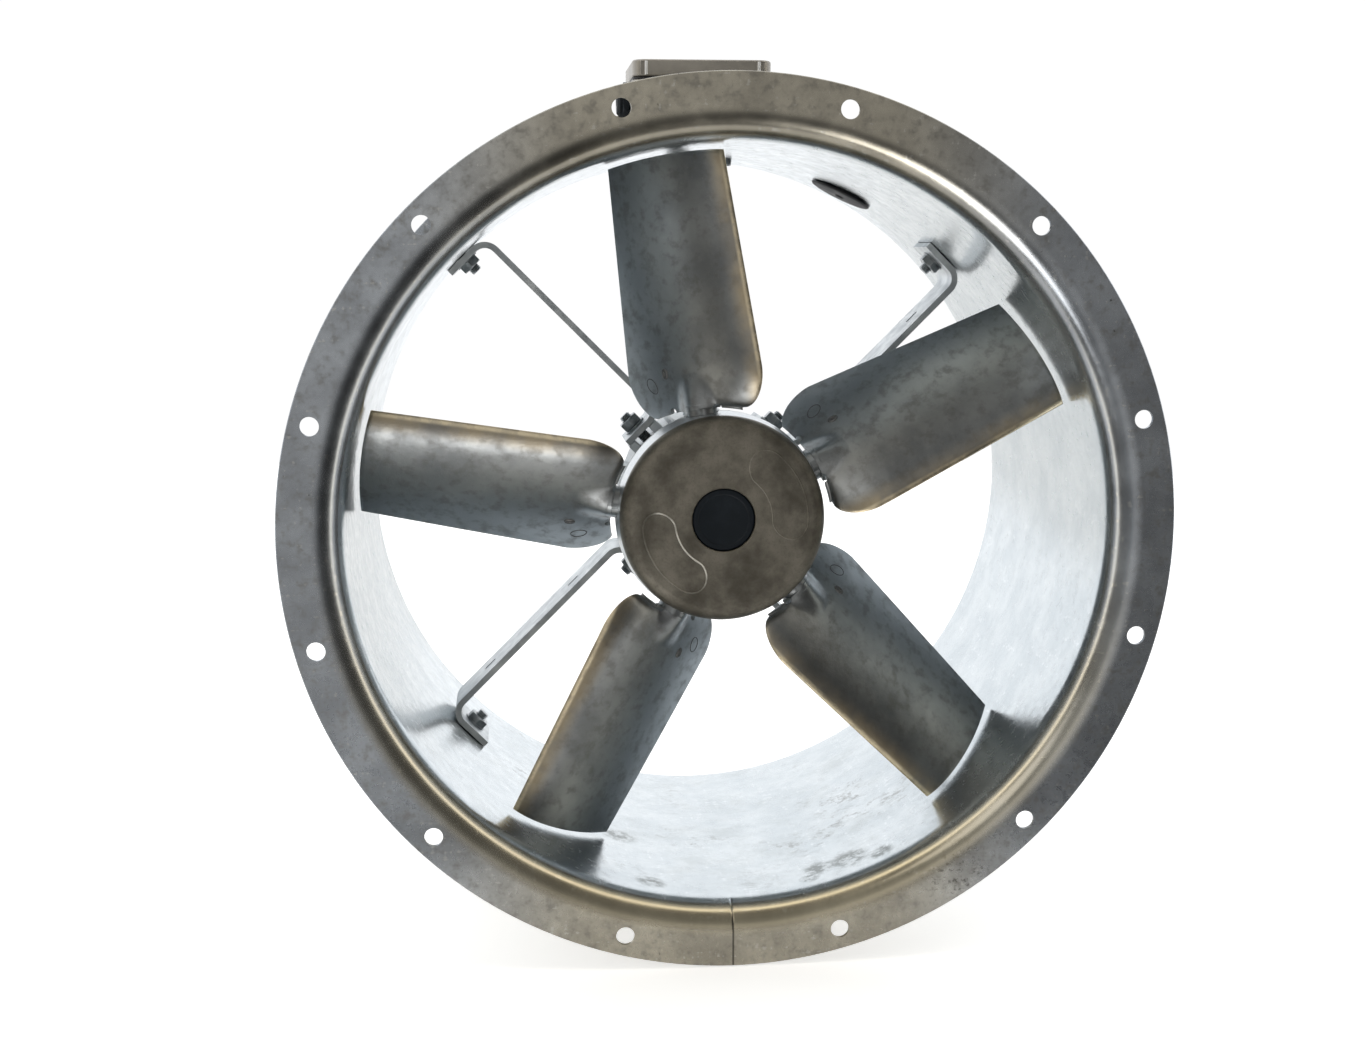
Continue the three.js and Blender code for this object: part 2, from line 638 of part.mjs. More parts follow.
// A flat strip bent into a C: a foot on the casing, a straight web and a foot on the motor.
function supportArm() {
  const outerBend = ARM_BEND_RADIUS + ARM_THICKNESS;
  const webOutside = ARM_WEB_OFFSET + ARM_THICKNESS / 2;
  const bendX = webOutside - outerBend;
  const quarter = Math.PI / 2;
  const topBend = ARM_OUTER_FACE - outerBend;
  const bottomBend = ARM_INNER_FACE + outerBend;
  const outline = new THREE.Shape();
  outline.moveTo(-ARM_OUTER_FOOT_REACH, ARM_OUTER_FACE);
  outline.lineTo(bendX, ARM_OUTER_FACE);
  outline.absarc(bendX, topBend, outerBend, quarter, 0, true);
  outline.absarc(bendX, bottomBend, outerBend, 0, -quarter, true);
  outline.lineTo(-ARM_INNER_FOOT_REACH, ARM_INNER_FACE);
  outline.lineTo(-ARM_INNER_FOOT_REACH, ARM_INNER_FACE + ARM_THICKNESS);
  outline.absarc(bendX, bottomBend, ARM_BEND_RADIUS, -quarter, 0, false);
  outline.absarc(bendX, topBend, ARM_BEND_RADIUS, 0, quarter, false);
  outline.lineTo(-ARM_OUTER_FOOT_REACH, ARM_OUTER_FACE - ARM_THICKNESS);
  outline.closePath();
  const options = { depth: ARM_WIDTH, bevelEnabled: false, curveSegments: 3 };
  const strip = new THREE.ExtrudeGeometry(outline, options);
  strip.rotateX(Math.PI / 2).translate(0, MOTOR_MIDDLE + ARM_WIDTH / 2, 0);
  const footHole = (face) =>
    alongSpoke(cylinder(BOLT_HOLE_RADIUS, face - 6, face + 6, HOLE_SIDES), 0, MOTOR_MIDDLE);
  const slots = ARM_SLOTS_AT.map((radius) =>
    box([10, 28], [MOTOR_MIDDLE - 2, MOTOR_MIDDLE + 2], [radius - 5, radius + 5]));
  return cut(strip, footHole(ARM_OUTER_FACE), footHole(ARM_INNER_FACE), ...slots);
}

function nut(from) {
  const body = hexagon(NUT_ACROSS_FLATS, from, from + NUT_HEIGHT);
  return cut(body, cylinder(BOLT_RADIUS + GAP, from - 1, from + NUT_HEIGHT + 1, HOLE_SIDES));
}

function casingBolt() {
  const head = DUCT_RADIUS + SHEET + GAP;
  const end = ARM_OUTER_FACE - ARM_THICKNESS - GAP - NUT_HEIGHT - 3;
  const shank = cylinder(BOLT_RADIUS, end, head + 1, HOLE_SIDES);
  return joined(hexagon(NUT_ACROSS_FLATS, head, head + 5.3), shank);
}

function supportArms() {
  ARM_ANGLES.forEach((angle, index) => {
    const number = index + 1;
    const parent = spoke(angle);
    const onSpoke = (geometry) => alongSpoke(geometry, 0, MOTOR_MIDDLE);
    const casingNutFrom = ARM_OUTER_FACE - ARM_THICKNESS - GAP - NUT_HEIGHT;
    const motorNutFrom = ARM_INNER_FACE + ARM_THICKNESS + GAP;
    add('support_arm_' + number, supportArm(), GALVANISED, parent);
    add('casing_bolt_' + number, onSpoke(casingBolt()), ZINC_STEEL, parent);
    add('casing_nut_' + number, onSpoke(nut(casingNutFrom)), ZINC_STEEL, parent);
    add('motor_nut_' + number, onSpoke(nut(motorNutFrom)), ZINC_STEEL, parent);
  });
}

// ---- terminal box and lead ----

// A slab with rounded corners, drawn in from the box's outline by `inset`.
function boxSlab(inset, from, to) {
  const halfWidth = BOX_WIDTH / 2 - inset;
  const halfDepth = (BOX_BACK - BOX_FRONT) / 2 - inset;
  const corner = BOX_CORNER_RADIUS - inset;
  const shape = new THREE.Shape();
  const corners = [[1, 1], [-1, 1], [-1, -1], [1, -1]];
  corners.forEach(([sideX, sideY], i) => {
    const start = (i * Math.PI) / 2;
    const x = sideX * (halfWidth - corner);
    const y = sideY * (halfDepth - corner);
    shape.absarc(x, y, corner, start, start + Math.PI / 2, false);
  });
  const slab = new THREE.ExtrudeGeometry(shape, { depth: to - from, bevelEnabled: false, curveSegments: 3 });
  return slab.translate(0, (BOX_FRONT + BOX_BACK) / 2, from);
}

// Upright cylinders at the box's four screws.
function boxPosts(radius, from, to) {
  const x = BOX_WIDTH / 2 - BOX_SCREW_INSET;
  const front = BOX_FRONT + BOX_SCREW_INSET;
  const back = BOX_BACK - BOX_SCREW_INSET;
  return [[-x, front], [x, front], [x, back], [-x, back]].map(([postX, postY]) =>
    alongSpoke(cylinder(radius, from, to, HOLE_SIDES), postX, postY));
}

function terminalBoxBase() {
  const shell = cut(boxSlab(0, BOX_BOTTOM, BOX_BASE_TOP), boxSlab(BOX_WALL, BOX_FLOOR, BOX_LID_TOP));
  const withPosts = joined(shell, ...boxPosts(4.6, BOX_FLOOR - 1, BOX_BASE_TOP));
  const saddle = cylinder(DUCT_RADIUS + SHEET + GAP + 0.4, BOX_FRONT - 5, BOX_BACK + 5, 96);
  const wall = -BOX_WIDTH / 2;
  const glandHole = cylinder(GLAND_THREAD_RADIUS + 2 * GAP, wall - 1, wall + 4, STEM_SIDES);
  const leadHole = alongSpoke(cylinder(11.5, DUCT_RADIUS, BOX_FLOOR + 1, STEM_SIDES), 0, LEAD_DEPTH);
  return cut(
    withPosts,
    saddle,
    alongX(glandHole, GLAND_DEPTH, GLAND_HEIGHT),
    toSpoke(leadHole, LEAD_ANGLE),
    ...boxPosts(BOX_SCREW_RADIUS + GAP, BOX_BASE_TOP - 16, BOX_LID_TOP),
  );
}

function terminalBoxLid() {
  const bottom = BOX_GASKET_TOP + GAP;
  const shell = cut(boxSlab(0, bottom, BOX_LID_TOP), boxSlab(BOX_WALL, bottom - 1, BOX_LID_TOP - BOX_WALL));
  const withPosts = joined(shell, ...boxPosts(4.6, bottom, BOX_LID_TOP - 1));
  return cut(
    withPosts,
    ...boxPosts(BOX_SCREW_RADIUS + GAP, bottom - 1, BOX_LID_TOP + 1),
    ...boxPosts(3.4, BOX_LID_TOP - 3, BOX_LID_TOP + 1),
  );
}

function lidGasket() {
  const from = BOX_BASE_TOP + GAP;
  return cut(boxSlab(0.4, from, BOX_GASKET_TOP), boxSlab(BOX_WALL - 0.2, from - 1, BOX_GASKET_TOP + 1));
}

function lidScrews() {
  const heads = boxPosts(3, BOX_LID_TOP - 2.6, BOX_LID_TOP - 0.4);
  const shanks = boxPosts(BOX_SCREW_RADIUS, BOX_BASE_TOP - 14, BOX_LID_TOP - 2);
  heads.forEach((head, i) => add('lid_screw_' + (i + 1), joined(head, shanks[i]), ZINC_STEEL));
}

function terminalBlock() {
  const floor = BOX_FLOOR + GAP;
  const middle = BOX_BACK - 28;
  const well = (x) => alongSpoke(cylinder(3.5, floor + 7, floor + 20, HOLE_SIDES), x, middle);
  const wells = [-12, 0, 12].map(well);
  return cut(box([-18, 18], [middle - 10, middle + 10], [floor, floor + 14]), ...wells);
}

// The gland's axis runs along X through the box's left wall; its bore is open to the outside.
function cableGland() {
  const wall = -BOX_WIDTH / 2;
  const body = turned([
    [3, wall - 9.5],
    [8, wall - 9.5],
    [10.4, wall - 7.5],
    [10.4, wall - GAP],
    [GLAND_THREAD_RADIUS, wall - GAP],
    [GLAND_THREAD_RADIUS, wall + 10],
    [6, wall + 10],
    [6, wall - 2],
    [3, wall - 4],
  ], STEM_SIDES);
  const nutBore = cylinder(GLAND_THREAD_RADIUS, wall - 7, wall, STEM_SIDES);
  const hexNut = cut(hexagon(22, wall - 6, wall - 0.8), nutBore);
  return alongX(joined(body, hexNut), GLAND_DEPTH, GLAND_HEIGHT);
}

function glandLocknut() {
  const from = -BOX_WIDTH / 2 + BOX_WALL + GAP;
  const bore = cylinder(GLAND_THREAD_RADIUS + 2 * GAP, from - 1, from + 5, STEM_SIDES);
  const body = cut(hexagon(19, from, from + 3.5), bore);
  return alongX(body, GLAND_DEPTH, GLAND_HEIGHT);
}

// A rubber grommet with a long sleeve inside the duct.
function leadGrommet() {
  const bore = LEAD_RADIUS + GAP;
  const inner = DUCT_RADIUS - 0.7;
  const outer = DUCT_RADIUS + SHEET + GAP;
  const profile = [
    [bore, inner - 11],
    [6.5, inner - 11],
    [8.5, inner - 3],
    [10.6, inner - 3],
    [10.6, inner],
    [GROMMET_HOLE_RADIUS - GAP, inner],
    [GROMMET_HOLE_RADIUS - GAP, outer],
    [10.6, outer],
    [10.6, outer + 2.5],
    [bore, outer + 2.5],
  ];
  return alongSpoke(turned(profile, SMALL_SIDES), 0, LEAD_DEPTH);
}

// The lead, from the motor's boss straight up the spoke with a slight bow, into the box.
function motorLead() {
  const bow = [[LEAD_START, 0], [86, 0], [112, 2.4], [145, 3.4], [178, 2.4], [206, 0], [LEAD_END, 0]];
  const path = new THREE.CatmullRomCurve3(
    bow.map(([radius, back]) => new THREE.Vector3(0, LEAD_DEPTH + back, radius)));
  const section = new THREE.Shape();
  section.absarc(0, 0, LEAD_RADIUS, 0, Math.PI * 2, false);
  const options = { steps: 12, curveSegments: 4, bevelEnabled: false, extrudePath: path };
  return new THREE.ExtrudeGeometry(section, options);
}

// ---- assembly ----

add('casing', casing(), GALVANISED);
add('blanking_plug', blankingPlug(), BLACK_RUBBER, spoke(PLUG_ANGLE));
supportArms();

add('motor_frame', motorFrame(), MOTOR_PAINT);
add('drive_end_shield', driveEndShield(), MOTOR_PAINT);
add('rear_end_shield', rearEndShield(), MOTOR_PAINT);
add('stator_core', statorCore(), LAMINATION);
add('stator_winding', statorWinding(), WINDING);
bearings();

add('terminal_box_base', terminalBoxBase(), BOX_METAL);
add('terminal_box_lid', terminalBoxLid(), BOX_METAL);
add('lid_gasket', lidGasket(), BLACK_RUBBER);
lidScrews();
add('terminal_block', terminalBlock(), CREAM_PLASTIC);
add('cable_gland', cableGland(), BLACK_PLASTIC);
add('gland_locknut', glandLocknut(), BLACK_PLASTIC);
const leadSpoke = spoke(LEAD_ANGLE);
add('lead_grommet', leadGrommet(), BLACK_RUBBER, leadSpoke);
add('motor_lead', motorLead(), BLACK_RUBBER, leadSpoke);

add('hub_front_disc', hubFrontDisc(), HUB_ALUMINIUM);
add('hub_rear_disc', hubRearDisc(), HUB_ALUMINIUM);
for (let i = 0; i < BLADES; i++) {
  const angle = FIRST_BLADE_ANGLE + (i * 360) / BLADES;
  add('blade_' + (i + 1), blade(), BLADE_ALUMINIUM, spoke(angle));
  add('hub_bolt_' + (i + 1), hubBolt(), ZINC_STEEL, spoke(angle + 180 / BLADES));
}
add('hub_bush', hubBush(), SHAFT_STEEL);
add('hub_centre_cap', hubCentreCap(), BLACK_PLASTIC);
const washer = ring(BOLT_RADIUS + GAP, 18.5, WASHER_FRONT, BUSH_FRONT - GAP, SMALL_SIDES);
add('retaining_washer', washer, ZINC_STEEL);
add('retaining_screw', retainingScrew(), ZINC_STEEL);
const keyHalf = KEY_WIDTH / 2;
add('shaft_key', box([-keyHalf, keyHalf], [KEY_FRONT, KEY_BACK], [KEY_BOTTOM, KEY_TOP]), SHAFT_STEEL);
add('shaft', shaft(), SHAFT_STEEL);
const rotorFront = MOTOR_MIDDLE - STATOR_LENGTH / 2 - 1;
const rotorBack = MOTOR_MIDDLE + STATOR_LENGTH / 2 + 1;
add('rotor_core', ring(SHAFT_CORE_RADIUS + GAP, ROTOR_RADIUS, rotorFront, rotorBack, SMALL_SIDES), LAMINATION);

export default fan;
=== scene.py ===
"""The looks of an inline duct fan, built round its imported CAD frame.

Shapes are worked out in millimetres, in the frame's own axes: +Y down the fan's axis with the air,
+Z up, and the origin at the centre of the inlet flange. Angles round the axis are clockwise from
the top for someone looking into the inlet, in degrees. A piece that stands on a spoke is built
with x across the spoke, y along the axis and z outwards, and is then turned to its spoke.
"""

import json
import math

import bmesh
import bpy
from mathutils import Matrix, Vector


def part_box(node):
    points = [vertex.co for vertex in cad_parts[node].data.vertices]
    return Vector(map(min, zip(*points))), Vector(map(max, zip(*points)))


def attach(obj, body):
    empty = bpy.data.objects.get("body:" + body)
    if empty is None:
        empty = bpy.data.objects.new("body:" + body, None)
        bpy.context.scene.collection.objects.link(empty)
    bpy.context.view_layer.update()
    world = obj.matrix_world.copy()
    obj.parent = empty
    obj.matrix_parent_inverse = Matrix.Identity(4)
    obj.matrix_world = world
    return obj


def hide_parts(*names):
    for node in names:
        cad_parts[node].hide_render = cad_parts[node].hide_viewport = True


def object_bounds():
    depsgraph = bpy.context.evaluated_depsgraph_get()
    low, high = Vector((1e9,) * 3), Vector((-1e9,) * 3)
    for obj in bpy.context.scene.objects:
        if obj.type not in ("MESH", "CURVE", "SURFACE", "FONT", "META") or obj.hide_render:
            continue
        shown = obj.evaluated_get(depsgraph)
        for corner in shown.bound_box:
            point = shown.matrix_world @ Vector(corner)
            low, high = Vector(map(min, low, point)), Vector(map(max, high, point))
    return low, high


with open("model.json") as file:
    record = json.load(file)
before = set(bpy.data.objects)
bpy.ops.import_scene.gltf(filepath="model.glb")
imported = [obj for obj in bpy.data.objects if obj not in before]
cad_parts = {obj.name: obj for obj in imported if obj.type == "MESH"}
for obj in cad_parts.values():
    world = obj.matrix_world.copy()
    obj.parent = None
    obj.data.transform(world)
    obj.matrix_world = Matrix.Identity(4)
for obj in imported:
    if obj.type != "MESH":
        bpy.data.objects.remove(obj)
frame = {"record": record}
CAD_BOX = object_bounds()

MM = 0.001


def box_mm(node):
    low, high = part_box(node)
    return Vector(low) / MM, Vector(high) / MM


# ---- sizes, in millimetres ----

GAP = 0.3  # between pieces that touch

casing_low, casing_high = box_mm("casing")
FLANGE_RADIUS = casing_high.z
CASING_LENGTH = casing_high.y - casing_low.y
DUCT_RADIUS = 225
SHEET = 2.5
ROLL_RADIUS = 18
FLANGE_HOLE_CIRCLE_RADIUS = 250
FLANGE_HOLES = 12
FLANGE_HOLE_RADIUS = 5.5
FIRST_FLANGE_HOLE_ANGLE = 15
SEAM_ANGLE = 180
SEAM_HALF_ANGLE = 0.12
BEND_SEAM_DEPTH = 0.5
WALL_SEAM_DEPTH = 0.08
PLUG_ANGLE = 26
PLUG_DEPTH = 213
PLUG_HOLE_RADIUS = 19
PLUG_FLANGE_RADIUS = 22

BLADES = 5
FIRST_BLADE_ANGLE = -10
hub_front = box_mm("hub_front_disc")[0].y
hub_back = box_mm("hub_rear_disc")[1].y
STEM_DEPTH = (hub_front + hub_back) / 2
HUB_HALF_THICKNESS = (hub_back - hub_front) / 2
STEM_RADIUS = 10
COLLAR_RADIUS = 15
COLLAR_FROM = 41
COLLAR_TO = 47
FAIRING_FROM = 68
FAIRING_TO = 106
HUB_RADIUS = 65
HUB_FACE_RIM_RADIUS = 63.1
HUB_EDGE_RADIUS = 8.6
HUB_BORE_RADIUS = 19.5
HUB_BOLT_CIRCLE_RADIUS = 46
HUB_BOLT_RADIUS = 3
HUB_BOLT_ACROSS_FLATS = 10
HUB_BOLT_START = 66

BLADE_ROOT_RADIUS = 67.5
BLADE_TIP_RADIUS = 222.4
BLADE_CHORD_DEPTH = 85
BLADE_PITCH_AT_ROOT = 41.5
BLADE_PITCH_AT_TIP = 34
BLADE_TWIST_START_RADIUS = 105
LEAD_WIDTH = 37.5
LEAD_ROOT_WIDTH = 23
LEAD_SHOULDER_RADIUS = 97
TRAIL_WIDTH = 38.1
TRAIL_TIP_WIDTH = 28.7
TRAIL_ROOT_WIDTH = 21.2
TRAIL_SHOULDER_RADIUS = 98
SHOULDER_POWER = 1.7
BLADE_CAMBER = 0.055
BLADE_THICKNESS = 0.075
BLADE_EDGE_THICKNESS = 1.4
LEAD_ROLL = 1.6  # how far the leading edge is rolled back
LEAD_ROLL_WIDTH = 16

SHAFT_RADIUS = 9.5
SHAFT_SEAT_RADIUS = 10
SHAFT_CORE_RADIUS = 12
KEY_WIDTH = 6
BUSH_FLANGE_RADIUS = 27
RETAINING_SCREW_END = 86

frame_low, frame_high = box_mm("motor_frame")
MOTOR_FRONT = frame_low.y
MOTOR_BACK = frame_high.y
MOTOR_MIDDLE = (MOTOR_FRONT + MOTOR_BACK) / 2
MOTOR_BORE = 47
MOTOR_RADIUS = 52.5
MOTOR_FIN_RADIUS = 57.5
MOTOR_FIN_SPACING = 12
MOTOR_PAD_RADIUS = 60
MOTOR_RAILS = ((-12, -6.5), (6.5, 13))  # across the spoke, under each arm's foot
MOTOR_NOSE_LENGTH = 65
BEARING_OFFSET = 54
BEARING_WIDTH = 14
BEARING_RADIUS = 23.5
BALLS = 7
BALL_RADIUS = 3.1
BALL_CIRCLE_RADIUS = 16.75
STATOR_LENGTH = 60
STATOR_RADIUS = 46.7
STATOR_BORE = 33.6
STATOR_SLOTS = 12
WINDING_BORE = 35
WINDING_RADIUS = 42.8
WINDING_REACH = 10  # past each end of the stator
SHIELD_SCREW_CIRCLE_RADIUS = 44.5
ROTOR_RADIUS = 33

ARM_ANGLES = (-45, 45, 135, -135)
ARM_WIDTH = 40
ARM_THICKNESS = 4
ARM_BEND_RADIUS = 8
ARM_WEB_OFFSET = 18.7
ARM_OUTER_FACE = 224.3
ARM_INNER_FACE = 60.3
ARM_OUTER_FOOT_REACH = 13
ARM_INNER_FOOT_REACH = 11
ARM_SLOTS_AT = (104, 184)
ARM_SLOT_LENGTH = 10
ARM_SLOT_RADIUS = 2
BOLT_RADIUS = 4
BOLT_HOLE_RADIUS = 4.5
NUT_ACROSS_FLATS = 13
NUT_HEIGHT = 6.2
WASHER_RADIUS = 8
THREAD_PITCH = 1.25

box_low, box_high = box_mm("terminal_box_base")
BOX_WIDTH = box_high.x - box_low.x
BOX_FRONT = box_low.y
BOX_BACK = box_high.y
BOX_BASE_TOP = box_high.z
BOX_LID_TOP = box_mm("terminal_box_lid")[1].z
BOX_GASKET_TOP = box_mm("lid_gasket")[1].z
BOX_CORNER_RADIUS = 9
BOX_WALL = 2.5
BOX_BOTTOM = 223
BOX_FLOOR = 231.5
BOX_SCREW_INSET = 7.5
BOX_POST_RADIUS = 4.6
BOX_SCREW_RADIUS = 1.6
BOX_SCREW_RECESS_RADIUS = 3.4
BOX_SCREW_ANGLE = 5.4  # of the screw that holds the box to the casing
BOX_SCREW_DEPTH = 217
GLAND_DEPTH = 206
GLAND_HEIGHT = 261
GLAND_THREAD_RADIUS = 8
GLAND_ACROSS_FLATS = 22
LOCKNUT_ACROSS_FLATS = 19

LEAD_ANGLE = -3.5
LEAD_DEPTH = 205
LEAD_RADIUS = 4.2
LEAD_START = 66
LEAD_END = 243
LEAD_HOLE_RADIUS = 11.5  # in the box's floor
LEAD_SAG = 3.4
GROMMET_HOLE_RADIUS = 8
GROMMET_RIM_RADIUS = 10.6

# ---- which body and finish each CAD node has ----

BODY_OF = {}
for body, nodes in frame["record"]["behaviour"]["bodies"].items():
    for node in nodes:
        BODY_OF[node] = body
SLOT_OF = {part["node"]: part["material_slot"] for part in frame["record"]["subparts"]}

# ---- outlines ----


def arc(centre_x, centre_y, radius, start, end, steps):
    """Points of an arc, its ends included, from one angle in degrees to another."""
    points = []
    for i in range(steps + 1):
        angle = math.radians(start + (end - start) * i / steps)
        points.append((centre_x + radius * math.cos(angle), centre_y + radius * math.sin(angle)))
    return points


def rounded(outline, radius, steps=3):
    """A closed outline with its corners rounded. Corners on the axis, at x = 0, stay sharp."""
    result = []
    for i, corner in enumerate(outline):
        here = Vector(corner)
        before = Vector(outline[i - 1]) - here
        after = Vector(outline[(i + 1) % len(outline)]) - here
        if here.x < 1e-6 or before.length < 1e-6 or after.length < 1e-6:
            result.append(corner)
            continue
        half_angle = before.angle(after) / 2
        if half_angle > math.radians(83):
            result.append(corner)
            continue
        reach = min(radius / math.tan(half_angle), 0.45 * before.length, 0.45 * after.length)
        first = here + before.normalized() * reach
        last = here + after.normalized() * reach
        for step in range(steps + 1):
            t = step / steps
            point = first * (1 - t) ** 2 + here * (2 * t * (1 - t)) + last * t**2
            result.append((point.x, point.y))
    return result


def around(radius, degrees, y):
    """The point at this radius and angle round the fan's axis."""
    angle = math.radians(degrees)
    return (radius * math.sin(angle), y, radius * math.cos(angle))


def spread(count, first=0.0):
    """Evenly spaced angles round the axis."""
    return [first + i * 360 / count for i in range(count)]


def smoothstep(low, high, value):
    t = min(1, max(0, (value - low) / (high - low)))
    return t * t * (3 - 2 * t)


def mix(a, b, t):
    return a + (b - a) * t


BLADE_ANGLES = spread(BLADES, FIRST_BLADE_ANGLE)
HUB_BOLT_ANGLES = spread(BLADES, FIRST_BLADE_ANGLE + 180 / BLADES)

# ---- mesh building ----


def make(name, vertices, faces, smooth=35):
    """A new closed object from points in millimetres, with its faces turned outwards."""
    mesh = bpy.data.meshes.new(name)
    mesh.from_pydata([(x * MM, y * MM, z * MM) for x, y, z in vertices], [], faces)
    made = bmesh.new()
    made.from_mesh(mesh)
    bmesh.ops.recalc_face_normals(made, faces=made.faces)
    made.to_mesh(mesh)
    made.free()
    piece = bpy.data.objects.new(name, mesh)
    bpy.context.collection.objects.link(piece)
    shade(piece, smooth)
    return piece


def shade(piece, smooth=35):
    own_normals = piece.data.attributes.get("custom_normal")
    if own_normals:
        piece.data.attributes.remove(own_normals)
    piece.data.shade_smooth()
    piece.data.set_sharp_from_angle(angle=math.radians(smooth))


def bake_modifiers(piece):
    shaped = piece.evaluated_get(bpy.context.evaluated_depsgraph_get())
    mesh = bpy.data.meshes.new_from_object(shaped)
    piece.modifiers.clear()
    old = piece.data
    piece.data = mesh
    bpy.data.meshes.remove(old)


def apply_modifiers(piece, smooth=35):
    bake_modifiers(piece)
    shade(piece, smooth)


def combine(piece, operation, tools, smooth=35):
    """Joins the tools to the piece (UNION), takes them off it (DIFFERENCE) or keeps what they share."""
    for tool in tools:
        modifier = piece.modifiers.new("combine", "BOOLEAN")
        modifier.operation = operation
        modifier.solver = "MANIFOLD"
        modifier.object = tool
    apply_modifiers(piece, smooth)
    for tool in tools:
        mesh = tool.data
        bpy.data.objects.remove(tool)
        bpy.data.meshes.remove(mesh)
    return piece


def cut(piece, tools, smooth=35):
    return combine(piece, "DIFFERENCE", tools, smooth)


def join(piece, tools, smooth=35):
    return combine(piece, "UNION", tools, smooth)


def soften(piece, width, segments=2, angle=30):
    """Rounds the piece's sharp edges."""
    modifier = piece.modifiers.new("soften", "BEVEL")
    modifier.width = width * MM
    modifier.segments = segments
    modifier.limit_method = "ANGLE"
    modifier.angle_limit = math.radians(angle)
    modifier.use_clamp_overlap = True
    apply_modifiers(piece, 40)
    flatten = piece.modifiers.new("flatten", "WEIGHTED_NORMAL")  # keeps the flat faces flat in the light
    flatten.keep_sharp = True
    bake_modifiers(piece)
    return piece


def shift(piece, matrix):
    """Moves the piece's mesh by a matrix whose shift is in millimetres."""
    moved = matrix.copy()
    moved.translation *= MM
    piece.data.transform(moved)
    return piece


def move(x=0, y=0, z=0):
    return Matrix.Translation((x, y, z))


def turn(degrees, axis):
    return Matrix.Rotation(math.radians(degrees), 4, axis)


def along_spoke(across=0, depth=0):
    """Lays something built along Y out along the top spoke."""
    return move(across, depth, 0) @ turn(90, "X")


def spoke_hole(radius, start, end, degrees, depth, sides=48):
    """A rod out along a spoke, to cut with."""
    return shift(rod("hole", radius, start, end, sides), turn(degrees, "Y") @ along_spoke(0, depth))


def on_spoke(piece, degrees):
    """Turns a piece built on the top spoke to its own spoke, and keeps its local frame."""
    piece.matrix_world = turn(degrees, "Y")
    return piece


def copy_of(piece, name):
    twin = piece.copy()
    twin.name = name
    bpy.context.collection.objects.link(twin)
    return twin


def ring_faces(rings, count, closed=False):
    """The faces between rings of count points each. A closed run joins its last ring to its first."""
    faces = []
    for i in range(rings if closed else rings - 1):
        here = i * count
        above = (i + 1) % rings * count
        for j in range(count):
            k = (j + 1) % count
            faces.append((here + j, here + k, above + k, above + j))
    return faces


def end_faces(rings, count):
    return [tuple(range(count)), tuple(range((rings - 1) * count, rings * count))]


def lathe(name, profile, sides=96, smooth=35, angles=None, dent=None):
    """Turns a profile of (radius, y) points about the Y axis. A profile that starts on the axis
    ends on it; any other closes on itself. dent gives how far a point at an angle and a radius is
    pushed outwards."""
    angles = angles or spread(sides)
    count = len(angles)
    vertices = []
    rings = []
    for radius, y in profile:
        if radius < 1e-6:
            rings.append([len(vertices)] * count)
            vertices.append((0, y, 0))
            continue
        rings.append(range(len(vertices), len(vertices) + count))
        for degrees in angles:
            pushed = dent(degrees, radius) if dent else 0
            vertices.append(around(radius + pushed, degrees, y))
    closed = profile[0][0] > 1e-6
    faces = []
    for i in range(len(rings) if closed else len(rings) - 1):
        lower = rings[i]
        upper = rings[(i + 1) % len(rings)]
        for j in range(count):
            k = (j + 1) % count
            corners = dict.fromkeys((lower[j], lower[k], upper[k], upper[j]))
            if len(corners) > 2:
                faces.append(tuple(corners))
    return make(name, vertices, faces, smooth)


def rod(name, radius, start, end, sides=48, edge=0.0):
    profile = [(0, start), (radius, start), (radius, end), (0, end)]
    return lathe(name, rounded(profile, edge) if edge else profile, sides)


def tube(name, inner, outer, start, end, sides=96, edge=0.4):
    profile = [(inner, start), (outer, start), (outer, end), (inner, end)]
    return lathe(name, rounded(profile, edge), sides)


def prism(name, outline, start, end, smooth=35):
    """An outline of (x, z) points drawn out along Y."""
    count = len(outline)
    vertices = [(x, start, z) for x, z in outline] + [(x, end, z) for x, z in outline]
    return make(name, vertices, end_faces(2, count) + ring_faces(2, count), smooth)


def block(name, low, high):
    outline = [(low[0], low[2]), (high[0], low[2]), (high[0], high[2]), (low[0], high[2])]
    return prism(name, outline, low[1], high[1])


def hexagon(name, across_flats, start, end, chamfer_start=True, chamfer_end=True):
    """A hexagon along Y with its corners turned off at the ends, as on a nut or a bolt head."""
    corner = across_flats / math.sqrt(3)
    outline = [(x, z) for x, _, z in (around(corner, angle, 0) for angle in spread(6))]
    body = prism(name, outline, start, end)
    face = across_flats * 0.475
    clear = corner + 1
    drop = (corner - face) * math.tan(math.radians(30))
    profile = [(0, start), (clear, start), (clear, end), (0, end)]
    if chamfer_start or chamfer_end:
        low = face if chamfer_start else clear
        high = face if chamfer_end else clear
        profile = [(0, start), (low, start), (corner, start + drop), (clear, start + drop)]
        profile += [(clear, end - drop), (corner, end - drop), (high, end), (0, end)]
    return soften(combine(body, "INTERSECT", [lathe("limit", profile, 48)]), 0.25, 2, 25)


def thread(name, radius, start, end, pitch=THREAD_PITCH, sides=28):
    """A threaded rod along Y with chamfered ends."""
    depth = 0.55 * pitch
    rings = max(8, int((end - start) / pitch * 6))
    vertices = []
    for i in range(rings + 1):
        y = mix(start, end, i / rings)
        limit = radius - max(0, 1.0 - (y - start), 1.0 - (end - y))
        for angle in spread(sides):
            phase = (y / pitch - angle / 360) % 1
            groove = depth * (1 - abs(2 * phase - 1))
            vertices.append(around(min(limit, radius - groove), angle, y))
    return make(name, vertices, end_faces(rings + 1, sides) + ring_faces(rings + 1, sides), 30)


